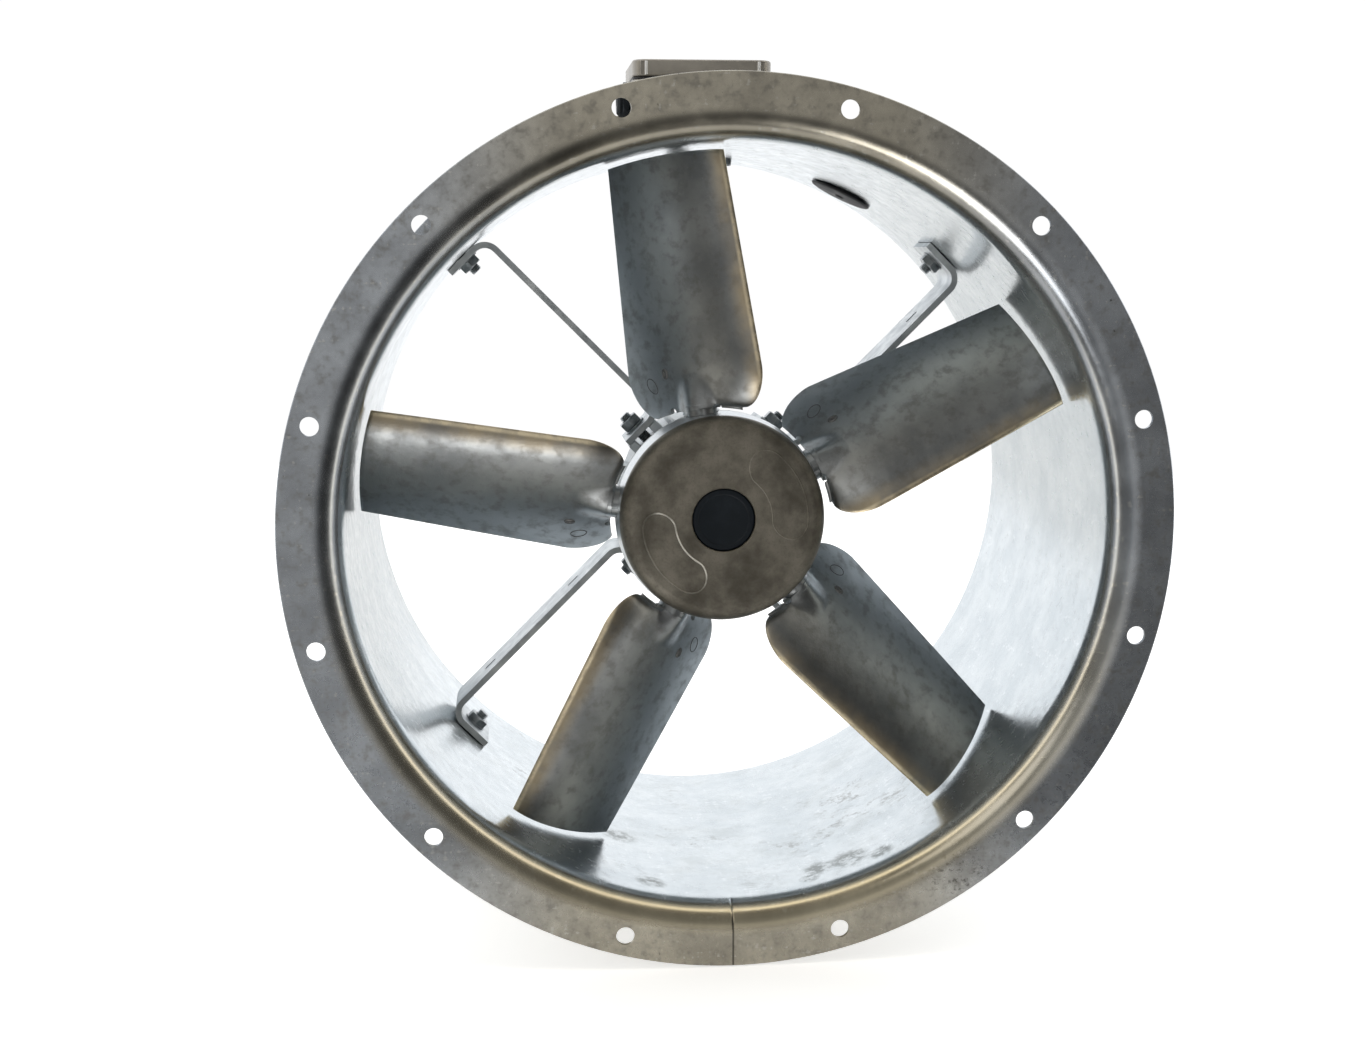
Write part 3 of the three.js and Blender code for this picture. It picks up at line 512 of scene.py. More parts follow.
def bead(name, path, radius, normals, sides=8, flatten=1.0):
    """A closed raised line along a path of points; each normal gives the way up from the surface."""
    count = len(path)
    vertices = []
    for i in range(count):
        along = (Vector(path[(i + 1) % count]) - Vector(path[i - 1])).normalized()
        up = Vector(normals[i]).normalized()
        side = along.cross(up).normalized()
        for j in range(sides):
            angle = 2 * math.pi * j / sides
            offset = side * (radius * math.cos(angle)) + up * (radius * flatten * math.sin(angle))
            vertices.append(tuple(Vector(path[i]) + offset))
    return make(name, vertices, ring_faces(count, sides, closed=True), 60)


# ---- materials ----


class Nodes:
    """A tree of shader nodes. The methods add nodes and return their outputs."""

    def __init__(self, tree):
        self.tree = tree

    def feed(self, node, values):
        """Sets a node's inputs, each to a number, a colour of three numbers or another node's output."""
        for key, value in values.items():
            socket = node.inputs[key]
            if isinstance(value, bpy.types.NodeSocket):
                self.tree.links.new(value, socket)
            else:
                socket.default_value = (*value, 1) if socket.type == "RGBA" else value
        return node

    def node(self, kind, values, **settings):
        node = self.tree.nodes.new(kind)
        for key, value in settings.items():
            setattr(node, key, value)
        return self.feed(node, values)

    def math(self, operation, first, second=0.0):
        return self.node("ShaderNodeMath", {0: first, 1: second}, operation=operation).outputs[0]

    def times(self, first, second):
        return self.math("MULTIPLY", first, second)

    def vector(self, operation, first, second=(0, 0, 0), output="Vector"):
        return self.node("ShaderNodeVectorMath", {0: first, 1: second}, operation=operation).outputs[output]

    def remap(self, value, low, high, to_low=0.0, to_high=1.0, kind="SMOOTHSTEP"):
        values = {"Value": value, "From Min": low, "From Max": high, "To Min": to_low, "To Max": to_high}
        return self.node("ShaderNodeMapRange", values, interpolation_type=kind).outputs[0]

    def parts(self, vector):
        """The X, Y and Z of a vector."""
        return self.node("ShaderNodeSeparateXYZ", {0: vector}).outputs

    def blend(self, share, first, second):
        """Mixes two colours."""
        return self.node("ShaderNodeMix", {0: share, 6: first, 7: second}, data_type="RGBA").outputs[2]

    def seen_directly(self):
        """1 for what the camera sees and 0 for reflections and light."""
        return self.node("ShaderNodeLightPath", {}).outputs["Is Camera Ray"]


class Shader(Nodes):
    """The nodes of one material."""

    def __init__(self, name):
        self.material = bpy.data.materials.new(name)
        self.material.use_nodes = True
        super().__init__(self.material.node_tree)
        self.place = self.node("ShaderNodeTexCoord", {}).outputs["Object"]

    def sized(self, size_mm, stretch=(1, 1, 1), offset=(0, 0, 0)):
        """The place, scaled so that a pattern's features are size_mm across, times stretch."""
        scale = [1 / (size_mm * MM * part) for part in stretch]
        values = {"Vector": self.place, "Scale": scale, "Location": offset}
        return self.node("ShaderNodeMapping", values).outputs[0]

    def noise(self, size_mm, detail=3, roughness=0.55, stretch=(1, 1, 1), offset=(0, 0, 0)):
        """A noise from 0 to 1."""
        place = self.sized(size_mm, stretch, offset)
        values = {"Vector": place, "Scale": 1.0, "Detail": detail, "Roughness": roughness}
        return self.node("ShaderNodeTexNoise", values).outputs["Fac"]

    def cells(self, size_mm):
        """Crystals as on galvanised steel, each with its own tone from 0 to 1."""
        values = {"Vector": self.sized(size_mm), "Scale": 1.0}
        tones = self.node("ShaderNodeTexVoronoi", values, feature="F1").outputs["Color"]
        return self.node("ShaderNodeSeparateColor", {0: tones}).outputs[0]

    def vary(self, noise, low, high):
        """Goes from low to high with the middle of a noise's range."""
        return self.remap(noise, 0.3, 0.7, low, high)

    def span(self, length, low_mm, high_mm, to_low=0.0, to_high=1.0):
        """Remaps a length, which nodes have in metres, between two lengths in millimetres."""
        return self.remap(length, low_mm * MM, high_mm * MM, to_low, to_high)

    def mottled(self, noise, dark, light):
        return self.blend(self.vary(noise, 0.0, 1.0), dark, light)

    def layers(self, colour, *coats):
        """Lays coats over a colour, each with its share from 0 to 1, its strength and its colour."""
        for share, strength, over in coats:
            colour = self.blend(self.times(share, strength), colour, over)
        return colour

    def between(self, share, first, second):
        """Mixes two values."""
        return self.node("ShaderNodeMix", {0: share, 2: first, 3: second}).outputs[0]

    def axis(self, name):
        """The X, Y or Z of the place, in metres."""
        return self.parts(self.place)[name]

    def radius(self):
        """The distance from the fan's axis, in metres."""
        return self.vector("LENGTH", self.vector("MULTIPLY", self.place, (1, 0, 1)), output="Value")

    def near(self, point_mm, inner_mm, outer_mm):
        """1 within inner_mm of a point on the fan, falling to 0 at outer_mm."""
        point = tuple(value * MM for value in point_mm)
        away = self.vector("DISTANCE", self.place, point, "Value")
        return self.span(away, outer_mm, inner_mm)

    def lines(self, value, per_metre):
        """Goes from 0.5 to 0 and back as a length in metres goes up, so many times a metre."""
        saw = self.math("FRACT", self.times(value, per_metre))
        return self.math("ABSOLUTE", self.math("SUBTRACT", saw, 0.5))

    def edge_wear(self, size_mm=0.8):
        """Near 1 on sharp outer edges and 0 elsewhere."""
        bevel = self.node("ShaderNodeBevel", {"Radius": size_mm * MM}, samples=4).outputs[0]
        plain = self.node("ShaderNodeNewGeometry", {}).outputs["Normal"]
        return self.remap(self.vector("DOT_PRODUCT", bevel, plain, "Value"), 0.97, 0.85)

    def bump(self, height, distance_mm, strength=1.0, below=None):
        values = {"Height": height, "Distance": distance_mm * MM, "Strength": strength}
        if below is not None:
            values["Normal"] = below
        return self.node("ShaderNodeBump", values).outputs[0]

    def finish(self, colour, roughness, metallic=0.0, normal=None, **extra):
        values = {"Base Color": colour, "Roughness": roughness, "Metallic": metallic, **extra}
        if normal is not None:
            values["Normal"] = normal
        self.feed(self.tree.nodes["Principled BSDF"], values)
        return self.material


# Dark scuffs on the duct's floor: angle round the duct, depth behind the front, and size.
WALL_SCUFFS = ((165, 40, 13), (167, 28, 8), (160, 39, 16), (155, 29, 11), (192, 33, 12), (196, 112, 15))
PITTED_ANGLE = 147  # of a pitted patch on the inlet flange


def casing_finish():
    """Galvanised sheet: bright and scratched inside the duct, dull and brown-grey on the flanges, with a
    painted warm highlight on the lower roll and side tints that are partly painted reflection.
    """
    s = Shader("galvanised_sheet")
    radius = s.radius()
    height = s.axis("Z")
    side = s.math("ABSOLUTE", s.axis("X"))
    cloud = s.noise(38, 4, 0.6)
    mottle = s.noise(7, 5, 0.65, offset=(3, 0, 0))
    scratch = s.noise(2.2, 2, 0.5, stretch=(14, 1, 1), offset=(0, 7, 0))
    scratch_two = s.noise(2.6, 2, 0.5, stretch=(1, 12, 3), offset=(5, 0, 2))
    scratches = s.remap(s.times(scratch, scratch_two), 0.34, 0.42)

    low_part = s.span(height, -110, -210)
    patch = s.times(s.remap(s.noise(75, 2, 0.5, offset=(5, 1, 3)), 0.52, 0.66), low_part)
    stain = s.times(s.remap(s.noise(11, 6, 0.75, offset=(0, 2, 9)), 0.50, 0.66), patch)
    haze = s.times(s.remap(s.noise(26, 4, 0.7, offset=(8, 0, 1)), 0.45, 0.75), low_part)
    wall = s.layers(
        s.blend(s.remap(cloud, 0.35, 0.65), (0.50, 0.54, 0.56), (0.58, 0.615, 0.63)),
        (s.cells(9), 0.12, (0.42, 0.48, 0.52)),
        (scratches, 0.25, (0.80, 0.82, 0.83)),
        (stain, 0.75, (0.20, 0.20, 0.19)),
        (haze, 0.5, (0.40, 0.43, 0.43)),
    )
    torn = s.remap(s.noise(6, 5, 0.7, offset=(2, 0, 4)), 0.38, 0.60, 0.15, 0.85)
    for degrees, depth, size in WALL_SCUFFS:
        scuff = s.near(around(DUCT_RADIUS, degrees, depth), size * 0.4, size)
        wall = s.blend(s.times(scuff, torn), wall, (0.13, 0.145, 0.14))

    # Warm brown-grey on the flange's top and bottom and cool blue-grey on its sides: partly the sheet's own
    # tint and partly painted reflection tones.
    warm = s.mottled(cloud, (0.36, 0.335, 0.28), (0.51, 0.475, 0.395))
    cool = s.mottled(cloud, (0.33, 0.35, 0.38), (0.47, 0.50, 0.54))
    flat = s.span(radius, DUCT_RADIUS + 11, DUCT_RADIUS + 20)
    bend = s.math("SUBTRACT", 1.0, flat)
    spots = s.remap(s.noise(3.5, 3, 0.6, offset=(11, 0, 0)), 0.66, 0.74)
    spots = s.times(spots, s.remap(s.noise(60, 1, 0.5, offset=(2, 2, 2)), 0.5, 0.62))
    pits = s.remap(s.noise(4, 5, 0.75, offset=(4, 4, 0)), 0.53, 0.62)
    pitted = s.near(around(253, PITTED_ANGLE, 0), 4, 34)
    joint = s.times(s.span(side, 0.8, 0.3), s.span(height, -DUCT_RADIUS - 4, -DUCT_RADIUS - 7))
    flange = s.layers(
        s.blend(s.span(side, 80, 200), warm, cool),
        (s.times(s.remap(mottle, 0.48, 0.70), flat), 0.6, (0.22, 0.21, 0.19)),
        (scratches, 0.4, (0.66, 0.65, 0.62)),
        (s.times(spots, flat), 0.85, (0.06, 0.055, 0.05)),
        (s.times(pits, pitted), 0.7, (0.05, 0.045, 0.04)),
        # Painted warm highlight on the lower half of the roll.
        (s.times(bend, s.span(height, 0, -150)), 0.5, (0.62, 0.54, 0.36)),
        (joint, 0.8, (0.05, 0.045, 0.04)),
    )

    on_flange = s.span(radius, DUCT_RADIUS + 1.2, DUCT_RADIUS + 3.5)
    rough_flange = s.between(flat, s.vary(cloud, 0.20, 0.26), s.vary(mottle, 0.24, 0.36))
    rough = s.between(on_flange, s.vary(mottle, 0.17, 0.29), rough_flange)
    waves = s.bump(s.noise(55, 2, 0.5, offset=(4, 4, 4)), 1.1, 0.35)
    cuts = s.bump(scratches, 0.03, 0.4, s.bump(mottle, 0.05, 0.3, waves))
    return s.finish(s.blend(on_flange, wall, flange), rough, 1.0, cuts)


def arm_finish():
    """Galvanised flat bar."""
    s = Shader("galvanised_bar")
    fine = s.noise(5, 4, 0.6, offset=(1, 5, 0))
    colour = s.mottled(s.noise(14, 4, 0.6), (0.46, 0.49, 0.51), (0.66, 0.69, 0.70))
    colour = s.layers(colour, (s.remap(fine, 0.6, 0.8), 0.3, (0.42, 0.43, 0.44)))
    return s.finish(colour, s.vary(fine, 0.35, 0.5), 0.85, s.bump(fine, 0.03, 0.4))


def blade_finish():
    """Sand-cast aluminium, dark and mottled, browner along the leading edge, partly as a painted warm
    highlight, with a painted highlight line on the edge and painted light on the trailing side.
    """
    s = Shader("cast_blade")
    own = s.node("ShaderNodeObjectInfo", {}).outputs["Random"]
    shifted = s.node("ShaderNodeCombineXYZ", {0: own, 1: own, 2: own}).outputs[0]
    across = s.axis("X")
    s.place = s.vector("ADD", s.place, shifted)
    cloud = s.noise(34, 4, 0.6)
    fleck = s.noise(8, 4, 0.6)
    grain = s.noise(0.9, 3, 0.6, offset=(2, 2, 0))
    edge = LEAD_WIDTH - 1
    # A browner band along the leading edge: partly the casting's tint and partly a painted warm highlight.
    brown = s.times(s.span(across, edge - 12.5, edge - 0.5), s.remap(cloud, 0.35, 0.6, 0.35, 1.0))
    # Painted highlight: a bright gold line along the leading edge.
    edge_highlight = s.times(s.span(across, edge - 2, edge), s.remap(fleck, 0.35, 0.6, 0.5, 1.0))
    colour = s.layers(
        s.mottled(cloud, (0.225, 0.235, 0.24), (0.345, 0.355, 0.355)),
        # Painted light: the trailing side is painted lighter, as where light falls on it.
        (s.span(across, 12, -24), 0.7, (0.50, 0.53, 0.55)),
        (s.remap(fleck, 0.45, 0.70), 0.5, (0.17, 0.165, 0.155)),
        (s.remap(grain, 0.58, 0.82), 0.3, (0.50, 0.50, 0.49)),
        (brown, 0.75, (0.50, 0.40, 0.25)),
        (edge_highlight, 0.85, (0.95, 0.82, 0.58)),
    )
    pits = s.bump(grain, 0.08, 0.5, s.bump(fleck, 0.5, 0.3, s.bump(cloud, 1.0, 0.3)))
    return s.finish(colour, s.vary(fleck, 0.30, 0.40), 1.0, pits)


def hub_finish():
    """Cast aluminium with a brown-grey skin on its faces, a cleaner turned rim, and raised lines worn
    bright with a painted highlight on their inner left side.
    """
    s = Shader("cast_hub")
    radius = s.radius()
    depth = s.axis("Y")
    cloud = s.noise(26, 4, 0.6)
    fine = s.noise(1.6, 5, 0.7)
    proud = s.span(depth, hub_front - 0.05, hub_front - 0.4)
    # Raised kidney lines: worn bright in places, with a painted highlight kept to their inner side and the
    # left.
    rubbed_and_highlight = s.remap(s.noise(15, 2, 0.5, offset=(6, 0, 3)), 0.38, 0.56, 0.4, 1.0)
    rubbed_and_highlight = s.times(rubbed_and_highlight, s.span(radius, 46, 40, 0.15, 1.0))
    rubbed_and_highlight = s.times(rubbed_and_highlight, s.span(s.axis("X"), 4, -4, 0.35, 1.0))
    skin = s.layers(
        s.mottled(cloud, (0.12, 0.11, 0.09), (0.29, 0.268, 0.225)),
        (s.remap(fine, 0.5, 0.75), 0.4, (0.13, 0.12, 0.10)),
        (s.times(proud, rubbed_and_highlight), 1.0, (0.86, 0.84, 0.78)),
    )
    clean = s.mottled(fine, (0.72, 0.75, 0.77), (0.86, 0.88, 0.89))
    from_split = s.math("ABSOLUTE", s.math("SUBTRACT", depth, STEM_DEPTH * MM))
    half_rim = HUB_HALF_THICKNESS - HUB_EDGE_RADIUS
    near_split = s.span(from_split, half_rim, half_rim - 2.5)
    on_rim = s.times(near_split, s.span(radius, HUB_RADIUS - 5, HUB_RADIUS - 2.5))
    rough = s.between(on_rim, s.vary(fine, 0.48, 0.62), 0.36)
    skin_bump = s.bump(fine, 0.14, 0.6, s.bump(cloud, 0.8, 0.25))
    return s.finish(s.blend(on_rim, skin, clean), rough, 0.9, skin_bump)


def steel_finish(name, dark, light, low_rough, high_rough, size_mm=1.2):
    """Plated or uncoated steel with fine handling marks and brighter edges."""
    s = Shader(name)
    fine = s.noise(size_mm, 4, 0.6, offset=(3, 1, 0))
    bright = tuple(min(1, c * 1.4) for c in light)
    colour = s.mottled(s.noise(size_mm * 5, 3, 0.6), dark, light)
    colour = s.layers(colour, (s.edge_wear(0.4), 0.5, bright))
    return s.finish(colour, s.vary(fine, low_rough, high_rough), 1.0, s.bump(fine, 0.03, 0.5))


def paint_finish():
    """Light grey paint over a die casting, with an orange-peel skin and worn edges."""
    s = Shader("motor_paint")
    peel = s.noise(1.1, 2, 0.5)
    colour = s.layers(
        s.mottled(s.noise(22, 4, 0.6, offset=(1, 2, 3)), (0.66, 0.70, 0.72), (0.80, 0.83, 0.84)),
        (s.remap(s.noise(6, 5, 0.7), 0.55, 0.75), 0.35, (0.45, 0.45, 0.44)),
        (s.edge_wear(0.6), 0.35, (0.9, 0.91, 0.91)),
    )
    return s.finish(colour, s.vary(peel, 0.38, 0.5), 0.1, s.bump(peel, 0.06, 0.4))


def plastic_finish(name, colour, low_rough, high_rough, grain_mm=0.6, grain_depth=0.03, shine=0.5):
    """Moulded plastic or rubber with a fine texture and a little dust."""
    s = Shader(name)
    cloud = s.noise(12, 3, 0.6)
    light = tuple(min(1, c * 1.6 + 0.006) for c in colour)
    mixed = s.layers(colour, (s.remap(cloud, 0.4, 0.75), 0.6, light))
    rough = s.vary(cloud, low_rough, high_rough)
    grain = s.bump(s.noise(grain_mm, 3, 0.6), grain_depth, 0.6)
    return s.finish(mixed, rough, 0.0, grain, **{"Specular IOR Level": shine})


def box_finish():
    """Die-cast terminal box in satin taupe paint."""
    s = Shader("box_paint")
    grain = s.noise(0.8, 3, 0.6)
    colour = s.layers(
        s.mottled(s.noise(20, 4, 0.6), (0.33, 0.31, 0.28), (0.42, 0.395, 0.355)),
        (s.remap(s.noise(4, 5, 0.7, offset=(2, 0, 4)), 0.58, 0.75), 0.5, (0.24, 0.225, 0.205)),
        (s.edge_wear(0.8), 0.6, (0.72, 0.70, 0.66)),
    )
    return s.finish(colour, s.vary(grain, 0.36, 0.5), 0.55, s.bump(grain, 0.05, 0.5))


def lamination_finish():
    """Stacked electrical sheets: fine lines across the axis."""
    s = Shader("laminations")
    line = s.lines(s.axis("Y"), 2000.0)
    colour = s.blend(s.remap(line, 0.1, 0.4), (0.16, 0.16, 0.17), (0.36, 0.36, 0.38))
    colour = s.layers(colour, (s.remap(s.noise(9, 3, 0.6), 0.5, 0.75), 0.4, (0.3, 0.2, 0.13)))
    return s.finish(colour, 0.45, 0.9, s.bump(line, 0.1, 0.5))


def winding_finish():
    """Varnished copper wire, wound round the axis."""
    s = Shader("varnished_copper")
    line = s.lines(s.math("ADD", s.radius(), s.axis("Y")), 1100.0)
    colour = s.blend(s.remap(line, 0.05, 0.45), (0.22, 0.075, 0.03), (0.62, 0.27, 0.11))
    colour = s.layers(colour, (s.remap(s.noise(6, 3, 0.6), 0.5, 0.75), 0.4, (0.35, 0.13, 0.05)))
    return s.finish(colour, 0.3, 0.75, s.bump(line, 0.35, 0.8))


FINISHES = {
    "galvanised": arm_finish(),
    "blade_aluminium": blade_finish(),
    "hub_aluminium": hub_finish(),
    "zinc_steel": steel_finish("zinc_plate", (0.30, 0.32, 0.33), (0.52, 0.54, 0.55), 0.30, 0.45),
    "shaft_steel": steel_finish("ground_steel", (0.50, 0.51, 0.52), (0.66, 0.67, 0.68), 0.18, 0.32),
    "motor_paint": paint_finish(),
    "black_plastic": plastic_finish("black_plastic", (0.005, 0.009, 0.014), 0.4, 0.55, shine=0.25),
    "rubber": plastic_finish("black_rubber", (0.014, 0.014, 0.016), 0.5, 0.7, 1.2, 0.05),
    "box_metal": box_finish(),
    "lamination": lamination_finish(),
    "winding": winding_finish(),
    "cream_plastic": plastic_finish("cream_plastic", (0.62, 0.57, 0.45), 0.38, 0.5),
}
CASING_FINISH = casing_finish()
# Dark finish for the raised ring and dimple marks on the blades: painted shade standing in for the shadow
# in cast grooves and a dimple.
MARK_SHADE_FINISH = steel_finish("painted_groove_shade", (0.13, 0.13, 0.13), (0.24, 0.24, 0.235), 0.4, 0.55)
# White strips for the lid's front corners: a painted highlight where the corners catch the light.
HIGHLIGHT_STRIP_FINISH = plastic_finish("painted_highlight_strip", (0.93, 0.94, 0.96), 0.35, 0.5)
GROMMET_FINISH = plastic_finish("grey_rubber", (0.16, 0.19, 0.18), 0.45, 0.6, 1.2, 0.05)


def dress(piece, slot, finish=None):
    piece.data.materials.clear()
    piece.data.materials.append(finish or FINISHES[slot])


def stand_for(piece, node, finish=None):
    """The piece takes the place of a CAD node, with its body and its finish."""
    dress(piece, SLOT_OF[node], finish)
    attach(piece, BODY_OF[node])
    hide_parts(node)
    return piece


def add_on(piece, body, slot, finish=None):
    """A small piece that no CAD node stands for."""
    dress(piece, slot, finish)
    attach(piece, body)
    return piece


# ---- casing ----


def sheet_profile(inset, steps):
    """One end of the sheet, from the flange's rim to the duct wall, inset behind the outside."""
    centre = DUCT_RADIUS + ROLL_RADIUS
    flat = [(FLANGE_RADIUS - 0.6, inset), (centre + 1, inset)]
    return flat + arc(centre, ROLL_RADIUS, ROLL_RADIUS - inset, 270, 180, steps)


def build_casing():
    inside = sheet_profile(0, 14)
    outside = sheet_profile(SHEET, 10)
    rim = [(FLANGE_RADIUS - 0.15, SHEET - 0.45), (FLANGE_RADIUS, SHEET / 2), (FLANGE_RADIUS - 0.15, 0.45)]
    wall_steps = [40 + 25 * i for i in range(9)]
    front = outside[::-1] + rim + inside
    wall = [(DUCT_RADIUS, y) for y in wall_steps]
    back = [(r, CASING_LENGTH - y) for r, y in front[::-1]]
    profile = front + wall + back
    near_seam = (0.05, 0.1, 0.16, 0.3)
    angles = sorted(spread(240) + [SEAM_ANGLE + side * step for side in (-1, 1) for step in near_seam])

    def seam(degrees, radius):
        if radius > DUCT_RADIUS + ROLL_RADIUS:
            return 0
        depth = BEND_SEAM_DEPTH if radius > DUCT_RADIUS + 1 else WALL_SEAM_DEPTH
        return depth * math.exp(-(((degrees - SEAM_ANGLE) / SEAM_HALF_ANGLE) ** 2))

    casing = lathe("casing_sheet", profile, angles=angles, dent=seam, smooth=30)
    holes = []
    for angle in spread(FLANGE_HOLES, FIRST_FLANGE_HOLE_ANGLE):
        hole = rod("hole", FLANGE_HOLE_RADIUS, -1, CASING_LENGTH + 1, 40)
        holes.append(shift(hole, turn(angle, "Y") @ move(z=FLANGE_HOLE_CIRCLE_RADIUS)))
    through = [(BOLT_HOLE_RADIUS, angle, MOTOR_MIDDLE) for angle in ARM_ANGLES]
    through += [(GROMMET_HOLE_RADIUS, LEAD_ANGLE, LEAD_DEPTH), (PLUG_HOLE_RADIUS, PLUG_ANGLE, PLUG_DEPTH)]
    for radius, angle, depth in through:
        holes.append(spoke_hole(radius, DUCT_RADIUS - 8, DUCT_RADIUS + 8, angle, depth))
    cut(casing, holes, 30)
    stand_for(casing, "casing", CASING_FINISH)
    screw = thread("box_fixing_screw", 2.4, DUCT_RADIUS - 4.5, DUCT_RADIUS + 1, 0.8, 24)
    shift(screw, along_spoke(0, BOX_SCREW_DEPTH))
    add_on(on_spoke(screw, BOX_SCREW_ANGLE), "casing", "zinc_steel")


def build_plug():
    inside = DUCT_RADIUS - 1.6
    outside = DUCT_RADIUS + SHEET + GAP
    neck = PLUG_HOLE_RADIUS - 0.5
    profile = [
        (0, inside - 2.6), (2.6, inside - 2.6), (3.4, inside - 1.7), (8, inside - 1.5),
        (PLUG_FLANGE_RADIUS - 3.5, inside - 1.7), (PLUG_FLANGE_RADIUS - 1.2, inside - 1.2),
        (PLUG_FLANGE_RADIUS, inside), (neck, inside), (neck, outside), (neck + 2, outside + 0.6),
        (neck + 1, outside + 2.5), (neck - 2.5, outside + 2.5), (neck - 3, inside + 1.5), (0, inside + 1),
    ]
    plug = lathe("blanking_plug_moulding", rounded(profile, 0.6), 96)
    shift(plug, along_spoke(0, PLUG_DEPTH))
    stand_for(on_spoke(plug, PLUG_ANGLE), "blanking_plug")


# ---- impeller ----


def fullness(radius, corner_radius, shoulder_radius):
    left = min(1, max(0, (shoulder_radius - radius) / (shoulder_radius - corner_radius)))
    return (1 - left**SHOULDER_POWER) ** (1 / SHOULDER_POWER)


def blade_widths(radius):
    lead_fullness = fullness(radius, BLADE_ROOT_RADIUS + 1.5, LEAD_SHOULDER_RADIUS)
    lead = mix(LEAD_ROOT_WIDTH, LEAD_WIDTH, lead_fullness)
    trail_fullness = fullness(radius, BLADE_ROOT_RADIUS - 1.5, TRAIL_SHOULDER_RADIUS)
    taper = (radius - TRAIL_SHOULDER_RADIUS) / (BLADE_TIP_RADIUS - TRAIL_SHOULDER_RADIUS)
    full = mix(TRAIL_WIDTH, TRAIL_TIP_WIDTH, min(1, max(0, taper)))
    return lead, mix(TRAIL_ROOT_WIDTH, full, trail_fullness)


def blade_surface(radius, s):
    """The blade's front and back points at a radius, at a share s of the chord from the leading
    edge, as (x, y, z) on the top spoke."""
    twist = (radius - BLADE_TWIST_START_RADIUS) / (BLADE_TIP_RADIUS - BLADE_TWIST_START_RADIUS)
    pitch = math.radians(mix(BLADE_PITCH_AT_ROOT, BLADE_PITCH_AT_TIP, min(1, max(0, twist))))
    lead, trail = blade_widths(radius)
    chord = (lead + trail) / math.cos(pitch)
    along = s * chord
    camber = 4 * BLADE_CAMBER * chord * s * (1 - s)
    roll = LEAD_ROLL * max(0, 1 - along / LEAD_ROLL_WIDTH) ** 2
    section = 0.2969 * math.sqrt(s) - 0.126 * s - 0.3516 * s**2 + 0.2843 * s**3 - 0.1036 * s**4
    half = 5 * BLADE_THICKNESS * chord * section + BLADE_EDGE_THICKNESS / 2 * s
    front = camber + half - roll
    back = camber - half - roll
    stem_rise = STEM_DEPTH - BLADE_CHORD_DEPTH + lead * math.tan(pitch)
    stem_along = lead * math.cos(pitch) + stem_rise * math.sin(pitch)
    stem_front = lead * math.sin(pitch) - stem_rise * math.cos(pitch)
    left = max(0, (FAIRING_TO - max(radius, FAIRING_FROM)) / (FAIRING_TO - FAIRING_FROM))
    stem = STEM_RADIUS * left**0.8
    if stem > 0:
        bell = max(0, 1 - ((along - stem_along) / (1.5 * STEM_RADIUS * left**0.5 + 1)) ** 2) ** 2
        front += max(0, stem_front + stem + 0.4 - front) * bell
        back += min(0, stem_front - stem - 0.4 - back) * bell
    places = []
    for height in (front, back):
        x = lead - along * math.cos(pitch) - height * math.sin(pitch)
        y = BLADE_CHORD_DEPTH - lead * math.tan(pitch) + along * math.sin(pitch) - height * math.cos(pitch)
        places.append((x, y, math.sqrt(radius**2 - x**2)))
    return places


def shrunk(ring, amount):
    """A ring of blade points drawn in towards its own middle line, to round off an end."""
    count = len(ring)
    result = []
    for i, point in enumerate(ring):
        mate = Vector(ring[(count - i) % count])
        here = Vector(point)
        apart = mate - here
        if apart.length < 1e-6:
            apart = Vector(ring[count // 2 if i == 0 else 0]) - here
            result.append(tuple(here + apart.normalized() * amount))
            continue
        reach = min(amount, apart.length * 0.4)
        result.append(tuple(here + apart.normalized() * reach))
    return result


def build_blade():
    """One blade with its stem and collar, on the top spoke."""
    steps = 60
    shares = [mix((1 - math.cos(math.pi * i / steps)) / 2, i / steps, 0.35) for i in range(steps + 1)]
    shares = [s**1.15 for s in shares]
    root_part = [BLADE_ROOT_RADIUS + 0.5 + 1.0 * i for i in range(40)]
    outer_part = [root_part[-1] + 4.5 * i for i in range(1, 26)]
    radii = [r for r in root_part + outer_part if r < BLADE_TIP_RADIUS - 1] + [BLADE_TIP_RADIUS - 0.5]
    rings = []

    def ring_at(radius):
        fronts, backs = zip(*(blade_surface(radius, s) for s in shares))
        return list(fronts) + list(backs)[:0:-1]

    rings.append(shrunk(ring_at(BLADE_ROOT_RADIUS), 0.7))
    rings.append(shrunk(ring_at(BLADE_ROOT_RADIUS + 0.15), 0.25))
    rings += [ring_at(radius) for radius in radii]
    rings.append(shrunk(ring_at(BLADE_TIP_RADIUS - 0.12), 0.2))
    rings.append(shrunk(ring_at(BLADE_TIP_RADIUS), 0.5))
    size = len(rings[0])
    vertices = [point for ring in rings for point in ring]
    faces = ring_faces(len(rings), size)
    for start in (0, len(vertices) - size):
        faces.append((start, start + 1, start + size - 1))
        for i in range(1, steps):
            faces.append((start + i, start + i + 1, start + size - i - 1, start + size - i))
    blade = make("blade_1_casting", vertices, faces, 40)
    stem = lathe("stem", rounded([
        (0, COLLAR_FROM), (COLLAR_RADIUS, COLLAR_FROM), (COLLAR_RADIUS, COLLAR_TO),
        (STEM_RADIUS, COLLAR_TO), (STEM_RADIUS, FAIRING_FROM + 3), (0, FAIRING_FROM + 3),
    ], 0.8), 64)
    shift(stem, along_spoke(0, STEM_DEPTH))
    join(blade, [stem], 40)
    notches = []
    slope = math.tan(math.radians(BLADE_PITCH_AT_ROOT))
    for x in (-12.8, 12.8):
        notch = rod("notch", 2.4, -12, 12, 32)
        place = move(x, BLADE_CHORD_DEPTH - x * slope, BLADE_ROOT_RADIUS - 0.6)
        notches.append(shift(notch, place @ turn(-BLADE_PITCH_AT_ROOT, "Z")))
    return cut(blade, notches, 40)


